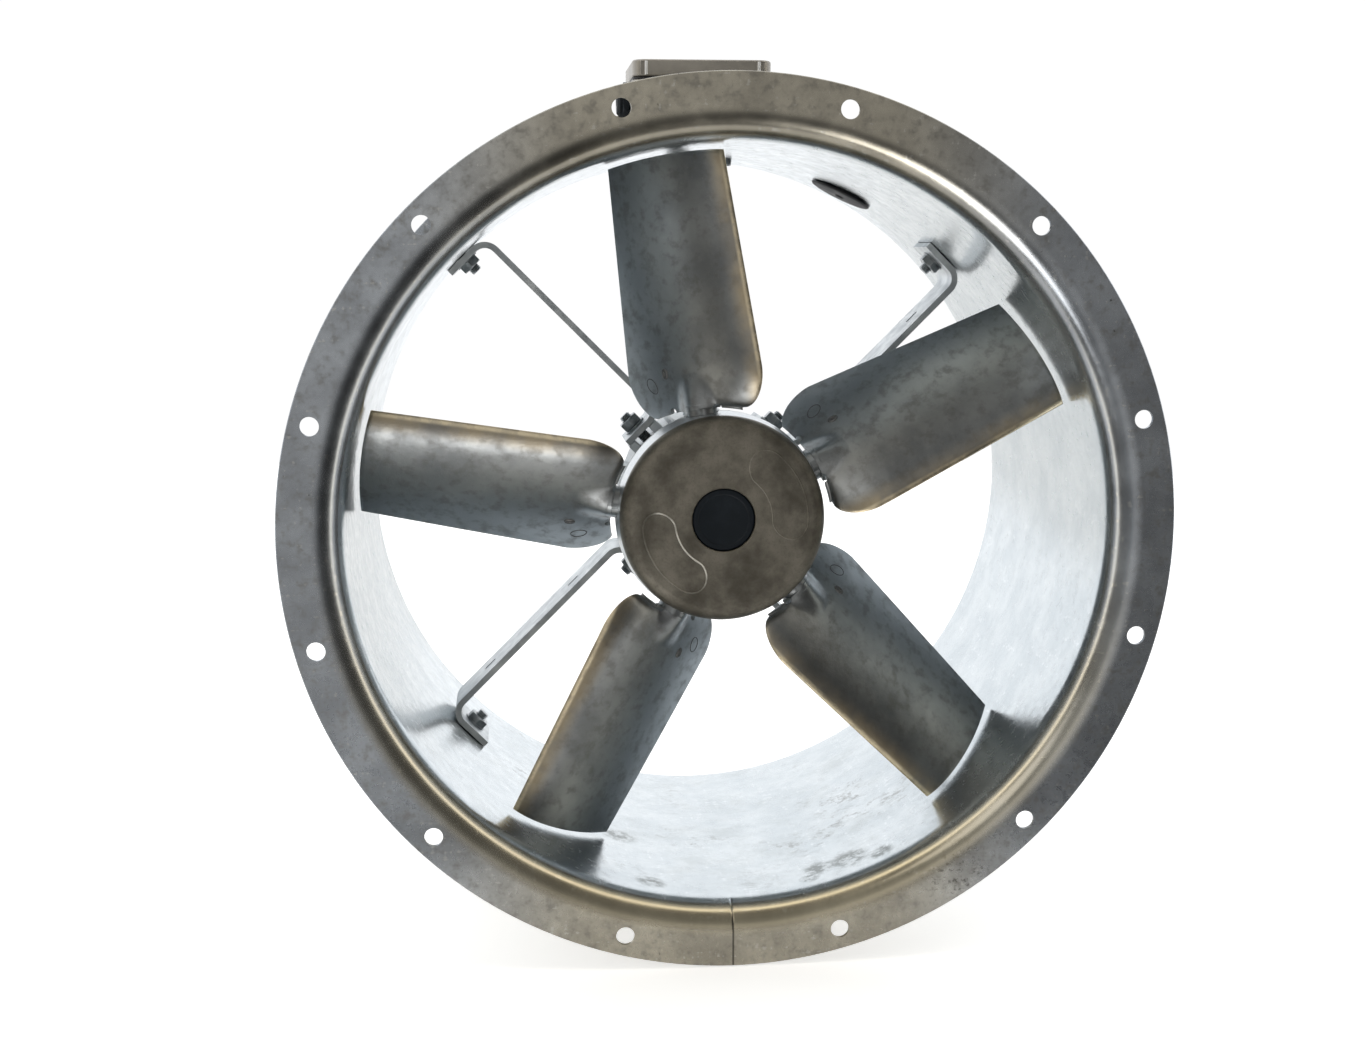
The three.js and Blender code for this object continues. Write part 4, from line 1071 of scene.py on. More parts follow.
def surface_mark(centre_radius, share, half_length, half_width, spin, line):
    """A small raised oval line on the front of the blade near its root."""
    path = []
    normals = []
    lead, trail = blade_widths(centre_radius)
    chord = (lead + trail) / math.cos(math.radians(BLADE_PITCH_AT_ROOT))

    def at(u, v):
        return Vector(blade_surface(centre_radius + u, share + v / chord)[0])

    for i in range(48):
        angle = 2 * math.pi * i / 48
        u = half_length * math.cos(angle)
        v = half_width * math.sin(angle)
        tilt = math.radians(spin)
        du = u * math.cos(tilt) - v * math.sin(tilt)
        dv = u * math.sin(tilt) + v * math.cos(tilt)
        here = at(du, dv)
        normal = (at(du, dv + 0.5) - here).cross(at(du + 0.5, dv) - here).normalized()
        if normal.y > 0:
            normal.negate()
        path.append(here - normal * line * 0.35)
        normals.append(normal)
    return bead("mark", path, line, normals)


def build_blades():
    blade = build_blade()
    mark = surface_mark(88, 0.80, 5.2, 3.6, 20, 0.42)
    dimple = surface_mark(93, 0.66, 2.3, 1.2, 0, 1.4)
    for number, angle in enumerate(BLADE_ANGLES, 1):
        casting = blade if number == 1 else copy_of(blade, f"blade_{number}_casting")
        stand_for(on_spoke(casting, angle), f"blade_{number}")
        # The marks wear the dark painted-shade finish.
        for kind, shape in (("ring_mark", mark), ("dimple_rim", dimple)):
            piece = copy_of(shape, f"blade_{number}_{kind}")
            add_on(on_spoke(piece, angle), "impeller", "blade_aluminium", MARK_SHADE_FINISH)
    bpy.data.objects.remove(mark)
    bpy.data.objects.remove(dimple)


def hub_half(name):
    """Half of the hub, from its face to the split, with the blade sockets cut out."""
    face = hub_front
    split = STEM_DEPTH - GAP / 2
    edge_centre = HUB_FACE_RIM_RADIUS - HUB_EDGE_RADIUS
    profile = [(HUB_BORE_RADIUS, face + 0.6), (HUB_BORE_RADIUS + 0.6, face), (34, face)]
    profile += arc(edge_centre, face + HUB_EDGE_RADIUS, HUB_EDGE_RADIUS, 270, 360, 14)
    profile += [(HUB_RADIUS, split - 0.8), (HUB_RADIUS - 0.8, split), (HUB_BORE_RADIUS, split)]
    half = lathe(name, profile, 192, 30)
    socket = (STEM_RADIUS + 2 * GAP, COLLAR_FROM - 5, HUB_RADIUS + 5)
    pocket = (COLLAR_RADIUS + 2 * GAP, COLLAR_FROM - GAP, COLLAR_TO + GAP)
    tools = []
    for angle in BLADE_ANGLES:
        tools += [spoke_hole(*sizes, angle, STEM_DEPTH, 64) for sizes in (socket, pocket)]
    return cut(half, tools, 30)


def hub_bolt_holes(start, end):
    holes = []
    for angle in HUB_BOLT_ANGLES:
        hole = rod("hole", HUB_BOLT_RADIUS + 0.4, start, end, 32)
        holes.append(shift(hole, turn(angle, "Y") @ move(z=HUB_BOLT_CIRCLE_RADIUS)))
    return holes


# Raised lines on the hub's face: inner and outer radius, first and last angle, and depth.
KIDNEY_LINES = ((30, 50, -164, -83, hub_front), (30, 52, 24, 107, hub_front + 0.3))


def kidney_line(inner, outer, start, end, depth):
    """A raised line round a kidney-shaped pad. The deeper it lies, the less of it stands out."""
    middle = (inner + outer) / 2
    half = (outer - inner) / 2
    cap = math.degrees(half / middle)
    path = []
    sides = ((outer, start + cap, end - cap, 1), (inner, end - cap, start + cap, -1))
    for radius, first, last, way in sides:
        path += [around(radius, mix(first, last, i / 40), depth) for i in range(41)]
        for i in range(1, 12):
            angle = math.pi * i / 12
            further = way * math.degrees(half * math.sin(angle) / middle)
            path.append(around(middle + way * half * math.cos(angle), last + further, depth))
    return bead("kidney", path, 0.6, [(0, -1, 0)] * len(path), 10, 0.9)


def build_hub():
    front = hub_half("hub_front_casting")
    cut(front, hub_bolt_holes(HUB_BOLT_START - 2, STEM_DEPTH + 1), 30)
    join(front, [kidney_line(*line) for line in KIDNEY_LINES], 30)
    stand_for(front, "hub_front_disc")
    rear = hub_half("hub_rear_casting")
    shift(rear, move(y=2 * STEM_DEPTH) @ turn(180, "X"))
    # The sockets have moved with the half, so the half is turned until they meet the blades again.
    shift(rear, turn(2 * FIRST_BLADE_ANGLE + 180, "Y"))
    cut(rear, hub_bolt_holes(STEM_DEPTH - 1, 2 * STEM_DEPTH), 30)
    stand_for(rear, "hub_rear_disc")


def build_hub_fasteners():
    head = STEM_DEPTH + HUB_HALF_THICKNESS + GAP
    for number, angle in enumerate(HUB_BOLT_ANGLES, 1):
        bolt = hexagon(f"hub_bolt_{number}_head", HUB_BOLT_ACROSS_FLATS, head, head + 4, False)
        join(bolt, [rod("shank", HUB_BOLT_RADIUS, HUB_BOLT_START, head + 1, 32, 0.4)])
        shift(bolt, move(z=HUB_BOLT_CIRCLE_RADIUS))
        stand_for(on_spoke(bolt, angle), f"hub_bolt_{number}")


def build_hub_centre():
    flange_front = STEM_DEPTH + HUB_HALF_THICKNESS + GAP
    bush_front, bush_back = (corner.y for corner in box_mm("hub_bush"))
    bore = SHAFT_RADIUS + GAP
    key_low, key_high = box_mm("shaft_key")
    half_slot = KEY_WIDTH / 2 + GAP
    bush = lathe("hub_bush_turning", rounded([
        (bore, bush_front), (HUB_BORE_RADIUS - GAP, bush_front), (HUB_BORE_RADIUS - GAP, flange_front),
        (BUSH_FLANGE_RADIUS, flange_front), (BUSH_FLANGE_RADIUS, bush_back), (bore, bush_back),
    ], 0.6), 128)
    slot = block("slot", (-half_slot, bush_front - 1, 0), (half_slot, bush_back + 1, key_high.z + GAP))
    stand_for(cut(bush, [slot]), "hub_bush")

    cap_front = box_mm("hub_centre_cap")[0].y
    rim = HUB_BORE_RADIUS - GAP
    cap = lathe("hub_cap_moulding", rounded([
        (0, cap_front + 0.5), (rim - 4, cap_front + 0.5), (rim - 3.2, cap_front), (rim - 0.8, cap_front),
        (rim, cap_front + 0.8), (rim, cap_front + 6), (rim - 1.8, cap_front + 6),
        (rim - 1.8, cap_front + 2.5), (0, cap_front + 2.5),
    ], 0.35), 128)
    stand_for(cap, "hub_centre_cap")

    low, high = box_mm("retaining_washer")
    washer = tube("retaining_washer_disc", BOLT_RADIUS + GAP, high.z, low.y, high.y, 96, 0.3)
    stand_for(washer, "retaining_washer")
    head_back = low.y - GAP
    screw = hexagon("retaining_screw_head", NUT_ACROSS_FLATS, head_back - 4.2, head_back, chamfer_end=False)
    join(screw, [thread("shank", BOLT_RADIUS, head_back - 1, RETAINING_SCREW_END)])
    stand_for(screw, "retaining_screw")

    key = block("shaft_key_bar", tuple(key_low), tuple(key_high))
    stand_for(soften(key, 0.4), "shaft_key")


def build_shaft():
    front = box_mm("shaft")[0].y
    shoulder_front = MOTOR_MIDDLE - BEARING_OFFSET + BEARING_WIDTH / 2 + GAP
    shoulder_back = 2 * MOTOR_MIDDLE - shoulder_front
    seat_front = MOTOR_MIDDLE - BEARING_OFFSET - BEARING_WIDTH / 2 - 3
    end = shoulder_back + BEARING_WIDTH
    key_low, key_high = box_mm("shaft_key")
    half_slot = KEY_WIDTH / 2 + GAP
    shaft = lathe("shaft_turning", rounded([
        (0, front), (SHAFT_RADIUS, front), (SHAFT_RADIUS, seat_front), (SHAFT_SEAT_RADIUS, seat_front),
        (SHAFT_SEAT_RADIUS, shoulder_front), (SHAFT_CORE_RADIUS, shoulder_front),
        (SHAFT_CORE_RADIUS, shoulder_back), (SHAFT_SEAT_RADIUS, shoulder_back), (SHAFT_SEAT_RADIUS, end),
        (0, end),
    ], 0.5), 96)
    slot = block("slot", (-half_slot, key_low.y - GAP, key_low.z - GAP), (half_slot, key_high.y + GAP, 20))
    hole = rod("hole", BOLT_RADIUS + GAP, front - 1, RETAINING_SCREW_END + 2, 32)
    stand_for(cut(shaft, [slot, hole]), "shaft")


def build_bearings():
    bore = SHAFT_SEAT_RADIUS + GAP
    inner_race = 13.2
    outer_race = 20.6
    groove = 1.2
    for end, side in (("front", -1), ("rear", 1)):
        middle = MOTOR_MIDDLE + side * BEARING_OFFSET
        start = middle - BEARING_WIDTH / 2
        back = middle + BEARING_WIDTH / 2
        outer = lathe(f"outer_race_{end}", rounded([
            (outer_race, start), (BEARING_RADIUS, start), (BEARING_RADIUS, back), (outer_race, back),
            (outer_race, middle + 2.6), (outer_race + groove, middle), (outer_race, middle - 2.6),
        ], 0.6), 96)
        inner = lathe(f"inner_race_{end}", rounded([
            (bore, start), (inner_race, start), (inner_race, middle - 2.6), (inner_race - groove, middle),
            (inner_race, middle + 2.6), (inner_race, back), (bore, back),
        ], 0.6), 96)
        stand_for(outer, f"bearing_outer_ring_{end}")
        stand_for(inner, f"bearing_inner_ring_{end}")
        low, high = BALL_CIRCLE_RADIUS - 1, BALL_CIRCLE_RADIUS + 1
        cage = tube(f"ball_cage_{end}", low, high, middle - 2, middle + 2, 96)
        balls = []
        for angle in spread(BALLS):
            half_circle = arc(0, 0, BALL_RADIUS, -90, 90, 20)[1:-1]
            ball = lathe("ball", [(0, -BALL_RADIUS)] + half_circle + [(0, BALL_RADIUS)], 36)
            balls.append(shift(ball, turn(angle, "Y") @ move(0, middle, BALL_CIRCLE_RADIUS)))
        stand_for(join(cage, balls), f"bearing_ball_cage_{end}")


# ---- motor ----


def apart(angle, other):
    """How many degrees lie between two angles, the short way round."""
    return abs((angle - other + 540) % 360 - 180)


def fin_angles():
    """The angles of the cooling fins, which leave room for the arms and the lead."""
    angles = []
    for angle in range(0, 360, MOTOR_FIN_SPACING):
        if min(apart(angle, pad) for pad in ARM_ANGLES) >= 20 and apart(angle, LEAD_ANGLE) >= 14:
            angles.append(angle)
    return angles


def build_motor_frame():
    fins = fin_angles()
    root_half = math.degrees(1.75 / MOTOR_RADIUS)
    tip_half = math.degrees(1.1 / MOTOR_FIN_RADIUS)
    steps = [(root_half, 0), (tip_half + 0.5, 0.84), (tip_half, 0.95), (tip_half * 0.5, 1)]
    samples = {}
    for i in range(180):
        angle = 2 * i
        if min(apart(angle, fin) for fin in fins) > root_half + 0.3:
            samples[angle] = 0
    for fin in fins:
        for offset, height in steps:
            samples[(fin - offset) % 360] = height
            samples[(fin + offset) % 360] = height
    angles = sorted(samples)
    fin_front = MOTOR_FRONT + 4
    fin_back = MOTOR_BACK - 4
    height = MOTOR_FIN_RADIUS - MOTOR_RADIUS
    levels = [
        (MOTOR_FRONT, -0.6, 0), (MOTOR_FRONT + 0.6, 0, 0), (fin_front - 0.01, 0, 0), (fin_front, 0, 0.85),
        (fin_front + 1, 0, 1), (fin_back - 1, 0, 1), (fin_back, 0, 0.85), (fin_back + 0.01, 0, 0),
        (MOTOR_BACK - 0.6, 0, 0), (MOTOR_BACK, -0.6, 0),
    ]
    vertices = []
    for y, inset, share in levels:
        for angle in angles:
            vertices.append(around(MOTOR_RADIUS + inset + height * share * samples[angle], angle, y))
    for y in (MOTOR_BACK, MOTOR_FRONT):
        vertices += [around(MOTOR_BORE, angle, y) for angle in angles]
    faces = ring_faces(len(levels) + 2, len(angles), closed=True)
    body = make("motor_frame_casting", vertices, faces, 35)
    arm_front = MOTOR_MIDDLE - ARM_WIDTH / 2
    arm_back = MOTOR_MIDDLE + ARM_WIDTH / 2
    additions = []
    for angle in ARM_ANGLES:
        for low, high in MOTOR_RAILS:
            rail = block("rail", (low, arm_front, MOTOR_RADIUS - 4), (high, arm_back, MOTOR_PAD_RADIUS))
            soften(rail, 0.8, 3)
            additions.append(shift(rail, turn(angle, "Y")))
    boss = rod("boss", 8, MOTOR_RADIUS - 4, LEAD_START - GAP, 64, 1.0)
    additions.append(shift(boss, turn(LEAD_ANGLE, "Y") @ along_spoke(0, LEAD_DEPTH)))
    join(body, additions)
    stand_for(body, "motor_frame")
    stud_end = ARM_INNER_FACE + ARM_THICKNESS + 11
    for number, angle in enumerate(ARM_ANGLES, 1):
        stud = thread(f"motor_stud_{number}", BOLT_RADIUS, MOTOR_RADIUS - 1, stud_end)
        shift(stud, along_spoke(0, MOTOR_MIDDLE))
        add_on(on_spoke(stud, angle), "casing", "zinc_steel")


def shield_profile(hole_radius):
    """An end shield, measured from the motor's middle towards its end."""
    nose = MOTOR_NOSE_LENGTH
    joint = (MOTOR_BACK - MOTOR_FRONT) / 2 + GAP
    housing = BEARING_RADIUS + GAP
    pocket_front = BEARING_OFFSET + BEARING_WIDTH / 2 + GAP
    pocket_back = BEARING_OFFSET - BEARING_WIDTH / 2 - GAP
    return [
        (hole_radius, nose), (25, nose), (28, nose - 2), (31, nose - 11), (50, nose - 14),
        (MOTOR_RADIUS, nose - 16.5), (MOTOR_RADIUS, joint), (MOTOR_BORE - GAP, joint),
        (MOTOR_BORE - GAP, joint - 5), (43.5, joint - 5), (43.5, joint), (30, pocket_back),
        (housing, pocket_back), (housing, pocket_front), (hole_radius, pocket_front),
    ]


def build_shields():
    ends = (("drive_end_shield", -1, SHAFT_SEAT_RADIUS + GAP), ("rear_end_shield", 1, 0))
    for node, side, hole in ends:
        outline = [(r, MOTOR_MIDDLE + side * y) for r, y in shield_profile(hole)]
        shield = lathe(node + "_casting", rounded(outline, 1.4, 4), 128)
        ribs = []
        for angle in spread(8, 22.5):
            reach = MOTOR_NOSE_LENGTH
            rib = [(27, reach - 3.5), (48, reach - 11.2), (48, reach - 17), (27, reach - 15)]
            plate = prism("rib", [(y, r) for r, y in rib], -1.4, 1.4)
            soften(plate, 0.5)
            lay = Matrix(((0, 1, 0, 0), (side, 0, 0, MOTOR_MIDDLE), (0, 0, 1, 0), (0, 0, 0, 1)))
            ribs.append(shift(plate, turn(angle, "Y") @ lay))
        join(shield, ribs)
        stand_for(shield, node)
        for number, angle in enumerate(spread(4), 1):
            face = MOTOR_NOSE_LENGTH - 13.4
            head = rod(f"{node}_screw_{number}", 3.4, face - 1, face + 2.6, 40, 0.7)
            slot = hexagon("slot", 3.4, face + 1, face + 4, False, False)
            cut(head, [slot])
            if side < 0:
                shift(head, Matrix.Scale(-1, 4, (0, 1, 0)))
                head.data.flip_normals()
            shift(head, turn(angle, "Y") @ move(0, MOTOR_MIDDLE, SHIELD_SCREW_CIRCLE_RADIUS))
            add_on(head, "casing", "zinc_steel")


def build_stator():
    front = MOTOR_MIDDLE - STATOR_LENGTH / 2
    back = MOTOR_MIDDLE + STATOR_LENGTH / 2

    def slots(across, low, high, start, end):
        made = []
        for angle in spread(STATOR_SLOTS):
            bar = block("bar", (-across / 2, start, low), (across / 2, end, high))
            soften(bar, 1.2, 3)
            made.append(shift(bar, turn(angle, "Y")))
        return made

    core = tube("stator_stack", STATOR_BORE, STATOR_RADIUS, front, back, 144, 0.3)
    cut(core, slots(7, 36, 42.5, front - 1, back + 1))
    stand_for(core, "stator_core")
    ends = ((front - WINDING_REACH, front - GAP), (back + GAP, back + WINDING_REACH))
    turns = [tube("stator_coils", WINDING_BORE, WINDING_RADIUS, *end, 144, 3) for end in ends]
    join(turns[0], turns[1:] + slots(6, 36.5, 42, front - 2, back + 2))
    stand_for(turns[0], "stator_winding")
    rotor = tube("rotor_stack", SHAFT_CORE_RADIUS + GAP, ROTOR_RADIUS, front - 1, back + 1, 144, 0.5)
    stand_for(rotor, "rotor_core")


# ---- support arms ----


def build_arm():
    outer_bend = ARM_BEND_RADIUS + ARM_THICKNESS
    bend_x = ARM_WEB_OFFSET + ARM_THICKNESS / 2 - outer_bend
    top = ARM_OUTER_FACE - outer_bend
    bottom = ARM_INNER_FACE + outer_bend
    outline = [(-ARM_OUTER_FOOT_REACH, ARM_OUTER_FACE)]
    outline += arc(bend_x, top, outer_bend, 90, 0, 12)
    outline += arc(bend_x, bottom, outer_bend, 0, -90, 12)
    outline += [(-ARM_INNER_FOOT_REACH, ARM_INNER_FACE + step) for step in (0, ARM_THICKNESS)]
    outline += arc(bend_x, bottom, ARM_BEND_RADIUS, -90, 0, 10)
    outline += arc(bend_x, top, ARM_BEND_RADIUS, 0, 90, 10)
    outline += [(-ARM_OUTER_FOOT_REACH, ARM_OUTER_FACE - ARM_THICKNESS)]
    arm = prism("arm", outline, MOTOR_MIDDLE - ARM_WIDTH / 2, MOTOR_MIDDLE + ARM_WIDTH / 2)
    tools = []
    for face in (ARM_OUTER_FACE, ARM_INNER_FACE):
        tools.append(spoke_hole(BOLT_HOLE_RADIUS, face - 6, face + 6, 0, MOTOR_MIDDLE, 40))
    for radius in ARM_SLOTS_AT:
        half = ARM_SLOT_LENGTH / 2 - ARM_SLOT_RADIUS
        outline = arc(half, 0, ARM_SLOT_RADIUS, -90, 90, 10) + arc(-half, 0, ARM_SLOT_RADIUS, 90, 270, 10)
        slot = prism("slot", outline, 10, 28)
        stand = Matrix(((0, 1, 0, 0), (0, 0, 1, MOTOR_MIDDLE), (1, 0, 0, radius), (0, 0, 0, 1)))
        tools.append(shift(slot, stand))
    cut(arm, tools)
    return soften(arm, 0.45, 2, 40)


def build_nut(name, start):
    body = hexagon(name, NUT_ACROSS_FLATS, start, start + NUT_HEIGHT)
    bore = rod("bore", BOLT_RADIUS + 0.4 * GAP, start - 1, start + NUT_HEIGHT + 1, 40)
    return cut(body, [bore])


def build_arms():
    arm = build_arm()
    head = DUCT_RADIUS + SHEET + GAP
    casing_nut_from = ARM_OUTER_FACE - ARM_THICKNESS - GAP - NUT_HEIGHT
    motor_nut_from = ARM_INNER_FACE + ARM_THICKNESS + GAP
    lay = along_spoke(0, MOTOR_MIDDLE)
    bolt = hexagon("bolt", NUT_ACROSS_FLATS, head, head + 5.3, chamfer_start=False)
    join(bolt, [thread("shank", BOLT_RADIUS - 0.1, casing_nut_from - 3, head + 1)])
    shapes = {
        "support_arm": arm,
        "casing_bolt": shift(bolt, lay),
        "casing_nut": shift(build_nut("nut", casing_nut_from + 1.0), lay),
        "motor_nut": shift(build_nut("nut", motor_nut_from + 1.2), lay),
    }
    washers = {
        "casing_washer": (casing_nut_from + NUT_HEIGHT - 0.4, casing_nut_from + NUT_HEIGHT + GAP),
        "motor_washer": (motor_nut_from - GAP, motor_nut_from + 1.1),
    }
    for name, (start, end) in washers.items():
        washer = tube(name, BOLT_RADIUS + GAP, WASHER_RADIUS, start, end, 64, 0.25)
        shapes[name] = shift(washer, lay)
    for number, angle in enumerate(ARM_ANGLES, 1):
        for kind, shape in shapes.items():
            piece = copy_of(shape, f"{kind}_{number}_piece")
            on_spoke(piece, angle)
            if kind in washers:
                add_on(piece, "casing", "zinc_steel")
            else:
                stand_for(piece, f"{kind}_{number}")
    for shape in shapes.values():
        bpy.data.objects.remove(shape)


# ---- terminal box and lead ----


def box_slab(name, inset, start, end):
    """A slab with rounded corners, drawn in from the box's outline by inset."""
    half_width = BOX_WIDTH / 2 - inset
    half_depth = (BOX_BACK - BOX_FRONT) / 2 - inset
    corner = max(0.5, BOX_CORNER_RADIUS - inset)
    outline = []
    for side_x, side_y, first in ((1, 1, 0), (-1, 1, 90), (-1, -1, 180), (1, -1, 270)):
        centre_x = side_x * (half_width - corner)
        centre_y = side_y * (half_depth - corner)
        outline += arc(centre_x, centre_y, corner, first, first + 90, 10)
    slab = prism(name, outline, start, end)
    lay = Matrix(((1, 0, 0, 0), (0, 0, 1, (BOX_FRONT + BOX_BACK) / 2), (0, 1, 0, 0), (0, 0, 0, 1)))
    slab = shift(slab, lay)
    slab.data.flip_normals()
    return slab


def post_places():
    x = BOX_WIDTH / 2 - BOX_SCREW_INSET
    front = BOX_FRONT + BOX_SCREW_INSET
    back = BOX_BACK - BOX_SCREW_INSET
    return [(-x, front), (x, front), (x, back), (-x, back)]


def posts(radius, start, end):
    return [shift(rod("post", radius, start, end, 40), along_spoke(x, y)) for x, y in post_places()]


def build_box():
    base = box_slab("terminal_box_casting", 0, BOX_BOTTOM, BOX_BASE_TOP)
    cut(base, [box_slab("hollow", BOX_WALL, BOX_FLOOR, BOX_LID_TOP)])
    join(base, posts(BOX_POST_RADIUS, BOX_FLOOR - 1, BOX_BASE_TOP))
    saddle = rod("saddle", DUCT_RADIUS + SHEET + GAP + 0.4, BOX_FRONT - 5, BOX_BACK + 5, 360)
    wall = -BOX_WIDTH / 2
    along_x = move(0, GLAND_DEPTH, GLAND_HEIGHT) @ turn(-90, "Z")
    gland_hole = shift(rod("hole", GLAND_THREAD_RADIUS + 2 * GAP, wall - 1, wall + 4, 48), along_x)
    lead_hole = spoke_hole(LEAD_HOLE_RADIUS, DUCT_RADIUS, BOX_FLOOR + 1, LEAD_ANGLE, LEAD_DEPTH)
    tools = [saddle, gland_hole, lead_hole] + posts(BOX_SCREW_RADIUS + GAP, BOX_BASE_TOP - 16, BOX_LID_TOP)
    cut(base, tools)
    stand_for(soften(base, 0.5, 2, 40), "terminal_box_base")

    bottom = BOX_GASKET_TOP + GAP
    lid = box_slab("terminal_lid_casting", 0, bottom, BOX_LID_TOP)
    soften(lid, 1.6, 4, 60)
    cut(lid, [box_slab("hollow", BOX_WALL, bottom - 1, BOX_LID_TOP - BOX_WALL)])
    join(lid, posts(BOX_POST_RADIUS, bottom, BOX_LID_TOP - 1))
    grooves = []
    for side in (-1, 1):
        edge = BOX_WIDTH / 2 - BOX_CORNER_RADIUS + 1.2
        low, high = sorted((side * edge, side * (edge + 2.6)))
        corner = (high, BOX_FRONT + 1.6, BOX_LID_TOP - 1.2)
        grooves.append(block("groove", (low, BOX_FRONT - 1, bottom + 0.8), corner))
    cut(lid, grooves)
    recesses = posts(BOX_SCREW_RECESS_RADIUS, BOX_LID_TOP - 3, BOX_LID_TOP + 1)
    cut(lid, posts(BOX_SCREW_RADIUS + GAP, bottom - 1, BOX_LID_TOP + 1) + recesses)
    stand_for(lid, "terminal_box_lid")
    # Thin white strips down the lid's front corners: painted highlights where the corners catch the light.
    for side, name in ((-1, "left"), (1, "right")):
        middle = side * (BOX_WIDTH / 2 - BOX_CORNER_RADIUS + 0.2)
        strip = rod(f"lid_strip_{name}", 1.0, bottom + 0.8, BOX_LID_TOP - 1.2, 24, 0.5)
        shift(strip, along_spoke(middle, BOX_FRONT + 0.1))
        add_on(strip, "casing", "zinc_steel", HIGHLIGHT_STRIP_FINISH)

    gasket_from = BOX_BASE_TOP + GAP
    gasket = box_slab("lid_gasket_strip", 0.4, gasket_from, BOX_GASKET_TOP)
    cut(gasket, [box_slab("hollow", BOX_WALL - 0.2, gasket_from - 1, BOX_GASKET_TOP + 1)])
    stand_for(soften(gasket, 0.3), "lid_gasket")

    for number, (x, y) in enumerate(post_places(), 1):
        screw = rod(f"lid_screw_{number}_pan", 3, BOX_LID_TOP - 2.6, BOX_LID_TOP - 0.4, 40, 0.7)
        slot = block("slot", (-4, BOX_LID_TOP - 1.3, -0.4), (4, BOX_LID_TOP + 1, 0.4))
        cut(screw, [slot])
        shank = thread("shank", BOX_SCREW_RADIUS, BOX_BASE_TOP - 14, BOX_LID_TOP - 2, 0.8, 20)
        join(screw, [shank])
        shift(screw, along_spoke(x, y))
        stand_for(screw, f"lid_screw_{number}")


def build_terminals():
    low, high = box_mm("terminal_block")
    terminals = block("terminal_strip", tuple(low), tuple(high))
    middle = (low.y + high.y) / 2
    ways = (-12, 0, 12)
    wells = [shift(rod("well", 3.5, low.z + 7, high.z + 6, 40), along_spoke(x, middle)) for x in ways]
    for x in (-6, 6):
        wells.append(block("cut", (x - 0.6, low.y - 1, low.z + 4), (x + 0.6, high.y + 1, high.z + 1)))
    cut(terminals, wells)
    stand_for(soften(terminals, 0.5), "terminal_block")
    for number, x in enumerate(ways, 1):
        screw = rod(f"terminal_screw_{number}", 2.9, low.z + 7.2, low.z + 10, 40, 0.4)
        cut(screw, [block("slot", (-4, low.z + 9.2, -0.45), (4, low.z + 11, 0.45))])
        add_on(shift(screw, along_spoke(x, middle)), "casing", "zinc_steel")


def build_gland():
    wall = -BOX_WIDTH / 2
    along_x = move(0, GLAND_DEPTH, GLAND_HEIGHT) @ turn(-90, "Z")
    body = lathe("cable_gland_body", rounded([
        (3, wall - 9.5), (8, wall - 9.5), (10.4, wall - 7.5), (10.4, wall - GAP),
        (GLAND_THREAD_RADIUS, wall - GAP), (GLAND_THREAD_RADIUS, wall + 10), (6, wall + 10),
        (6, wall - 2), (3, wall - 4),
    ], 0.7), 96)
    grip = hexagon("grip", GLAND_ACROSS_FLATS, wall - 6, wall - 0.8)
    cut(grip, [rod("bore", GLAND_THREAD_RADIUS, wall - 7, wall, 48)])
    join(body, [grip])
    stand_for(shift(body, along_x), "cable_gland")
    start = wall + BOX_WALL + GAP
    locknut = hexagon("gland_locknut_ring", LOCKNUT_ACROSS_FLATS, start, start + 3.5)
    cut(locknut, [rod("bore", GLAND_THREAD_RADIUS + 2 * GAP, start - 1, start + 5, 48)])
    stand_for(shift(locknut, along_x), "gland_locknut")


def build_lead():
    bore = LEAD_RADIUS + GAP
    inner = DUCT_RADIUS - 0.7
    outer = DUCT_RADIUS + SHEET + GAP
    neck = GROMMET_HOLE_RADIUS - GAP
    rim = GROMMET_RIM_RADIUS
    sleeve = lathe("lead_grommet_moulding", rounded([
        (bore, inner - 11), (6.5, inner - 11), (7.3, inner - 7), (8.5, inner - 3), (rim, inner - 3),
        (rim, inner), (neck, inner), (neck, outer), (rim, outer), (rim, outer + 2.5), (bore, outer + 2.5),
    ], 0.8), 96)
    shift(sleeve, along_spoke(0, LEAD_DEPTH))
    stand_for(on_spoke(sleeve, LEAD_ANGLE), "lead_grommet", GROMMET_FINISH)

    steps = 96
    sides = 24
    vertices = []
    for i in range(steps + 1):
        radius = mix(LEAD_START, LEAD_END, i / steps)
        depth = LEAD_DEPTH + LEAD_SAG * smoothstep(86, 140, radius) * (1 - smoothstep(150, 206, radius))
        inset = 0.8 if i in (0, steps) else 0
        for x, y in arc(0, depth, LEAD_RADIUS - 0.05 - inset, 0, 360, sides)[:-1]:
            vertices.append((x, y, radius))
    faces = end_faces(steps + 1, sides) + ring_faces(steps + 1, sides)
    lead = make("motor_lead_cable", vertices, faces, 50)
    stand_for(on_spoke(lead, LEAD_ANGLE), "motor_lead")


# ---- camera, lights and floor ----

FRONT_LIGHT_FROM_ABOVE = 0.9
FRONT_LIGHT_FROM_LEFT = 0.9


def build_camera():
    camera = bpy.data.objects.new("camera", bpy.data.cameras.new("camera"))
    bpy.context.collection.objects.link(camera)
    camera.data.lens = 47.9
    camera.data.sensor_width = 36
    camera.data.clip_start = 0.01
    camera.data.clip_end = 200
    heading = 5.39  # to the right of the fan's axis
    tilt = 8.44  # below level
    camera.location = (-0.1278, -1.0336, 0.1628)
    camera.rotation_euler = (math.radians(90 - tilt), 0, math.radians(-heading))
    bpy.context.scene.camera = camera


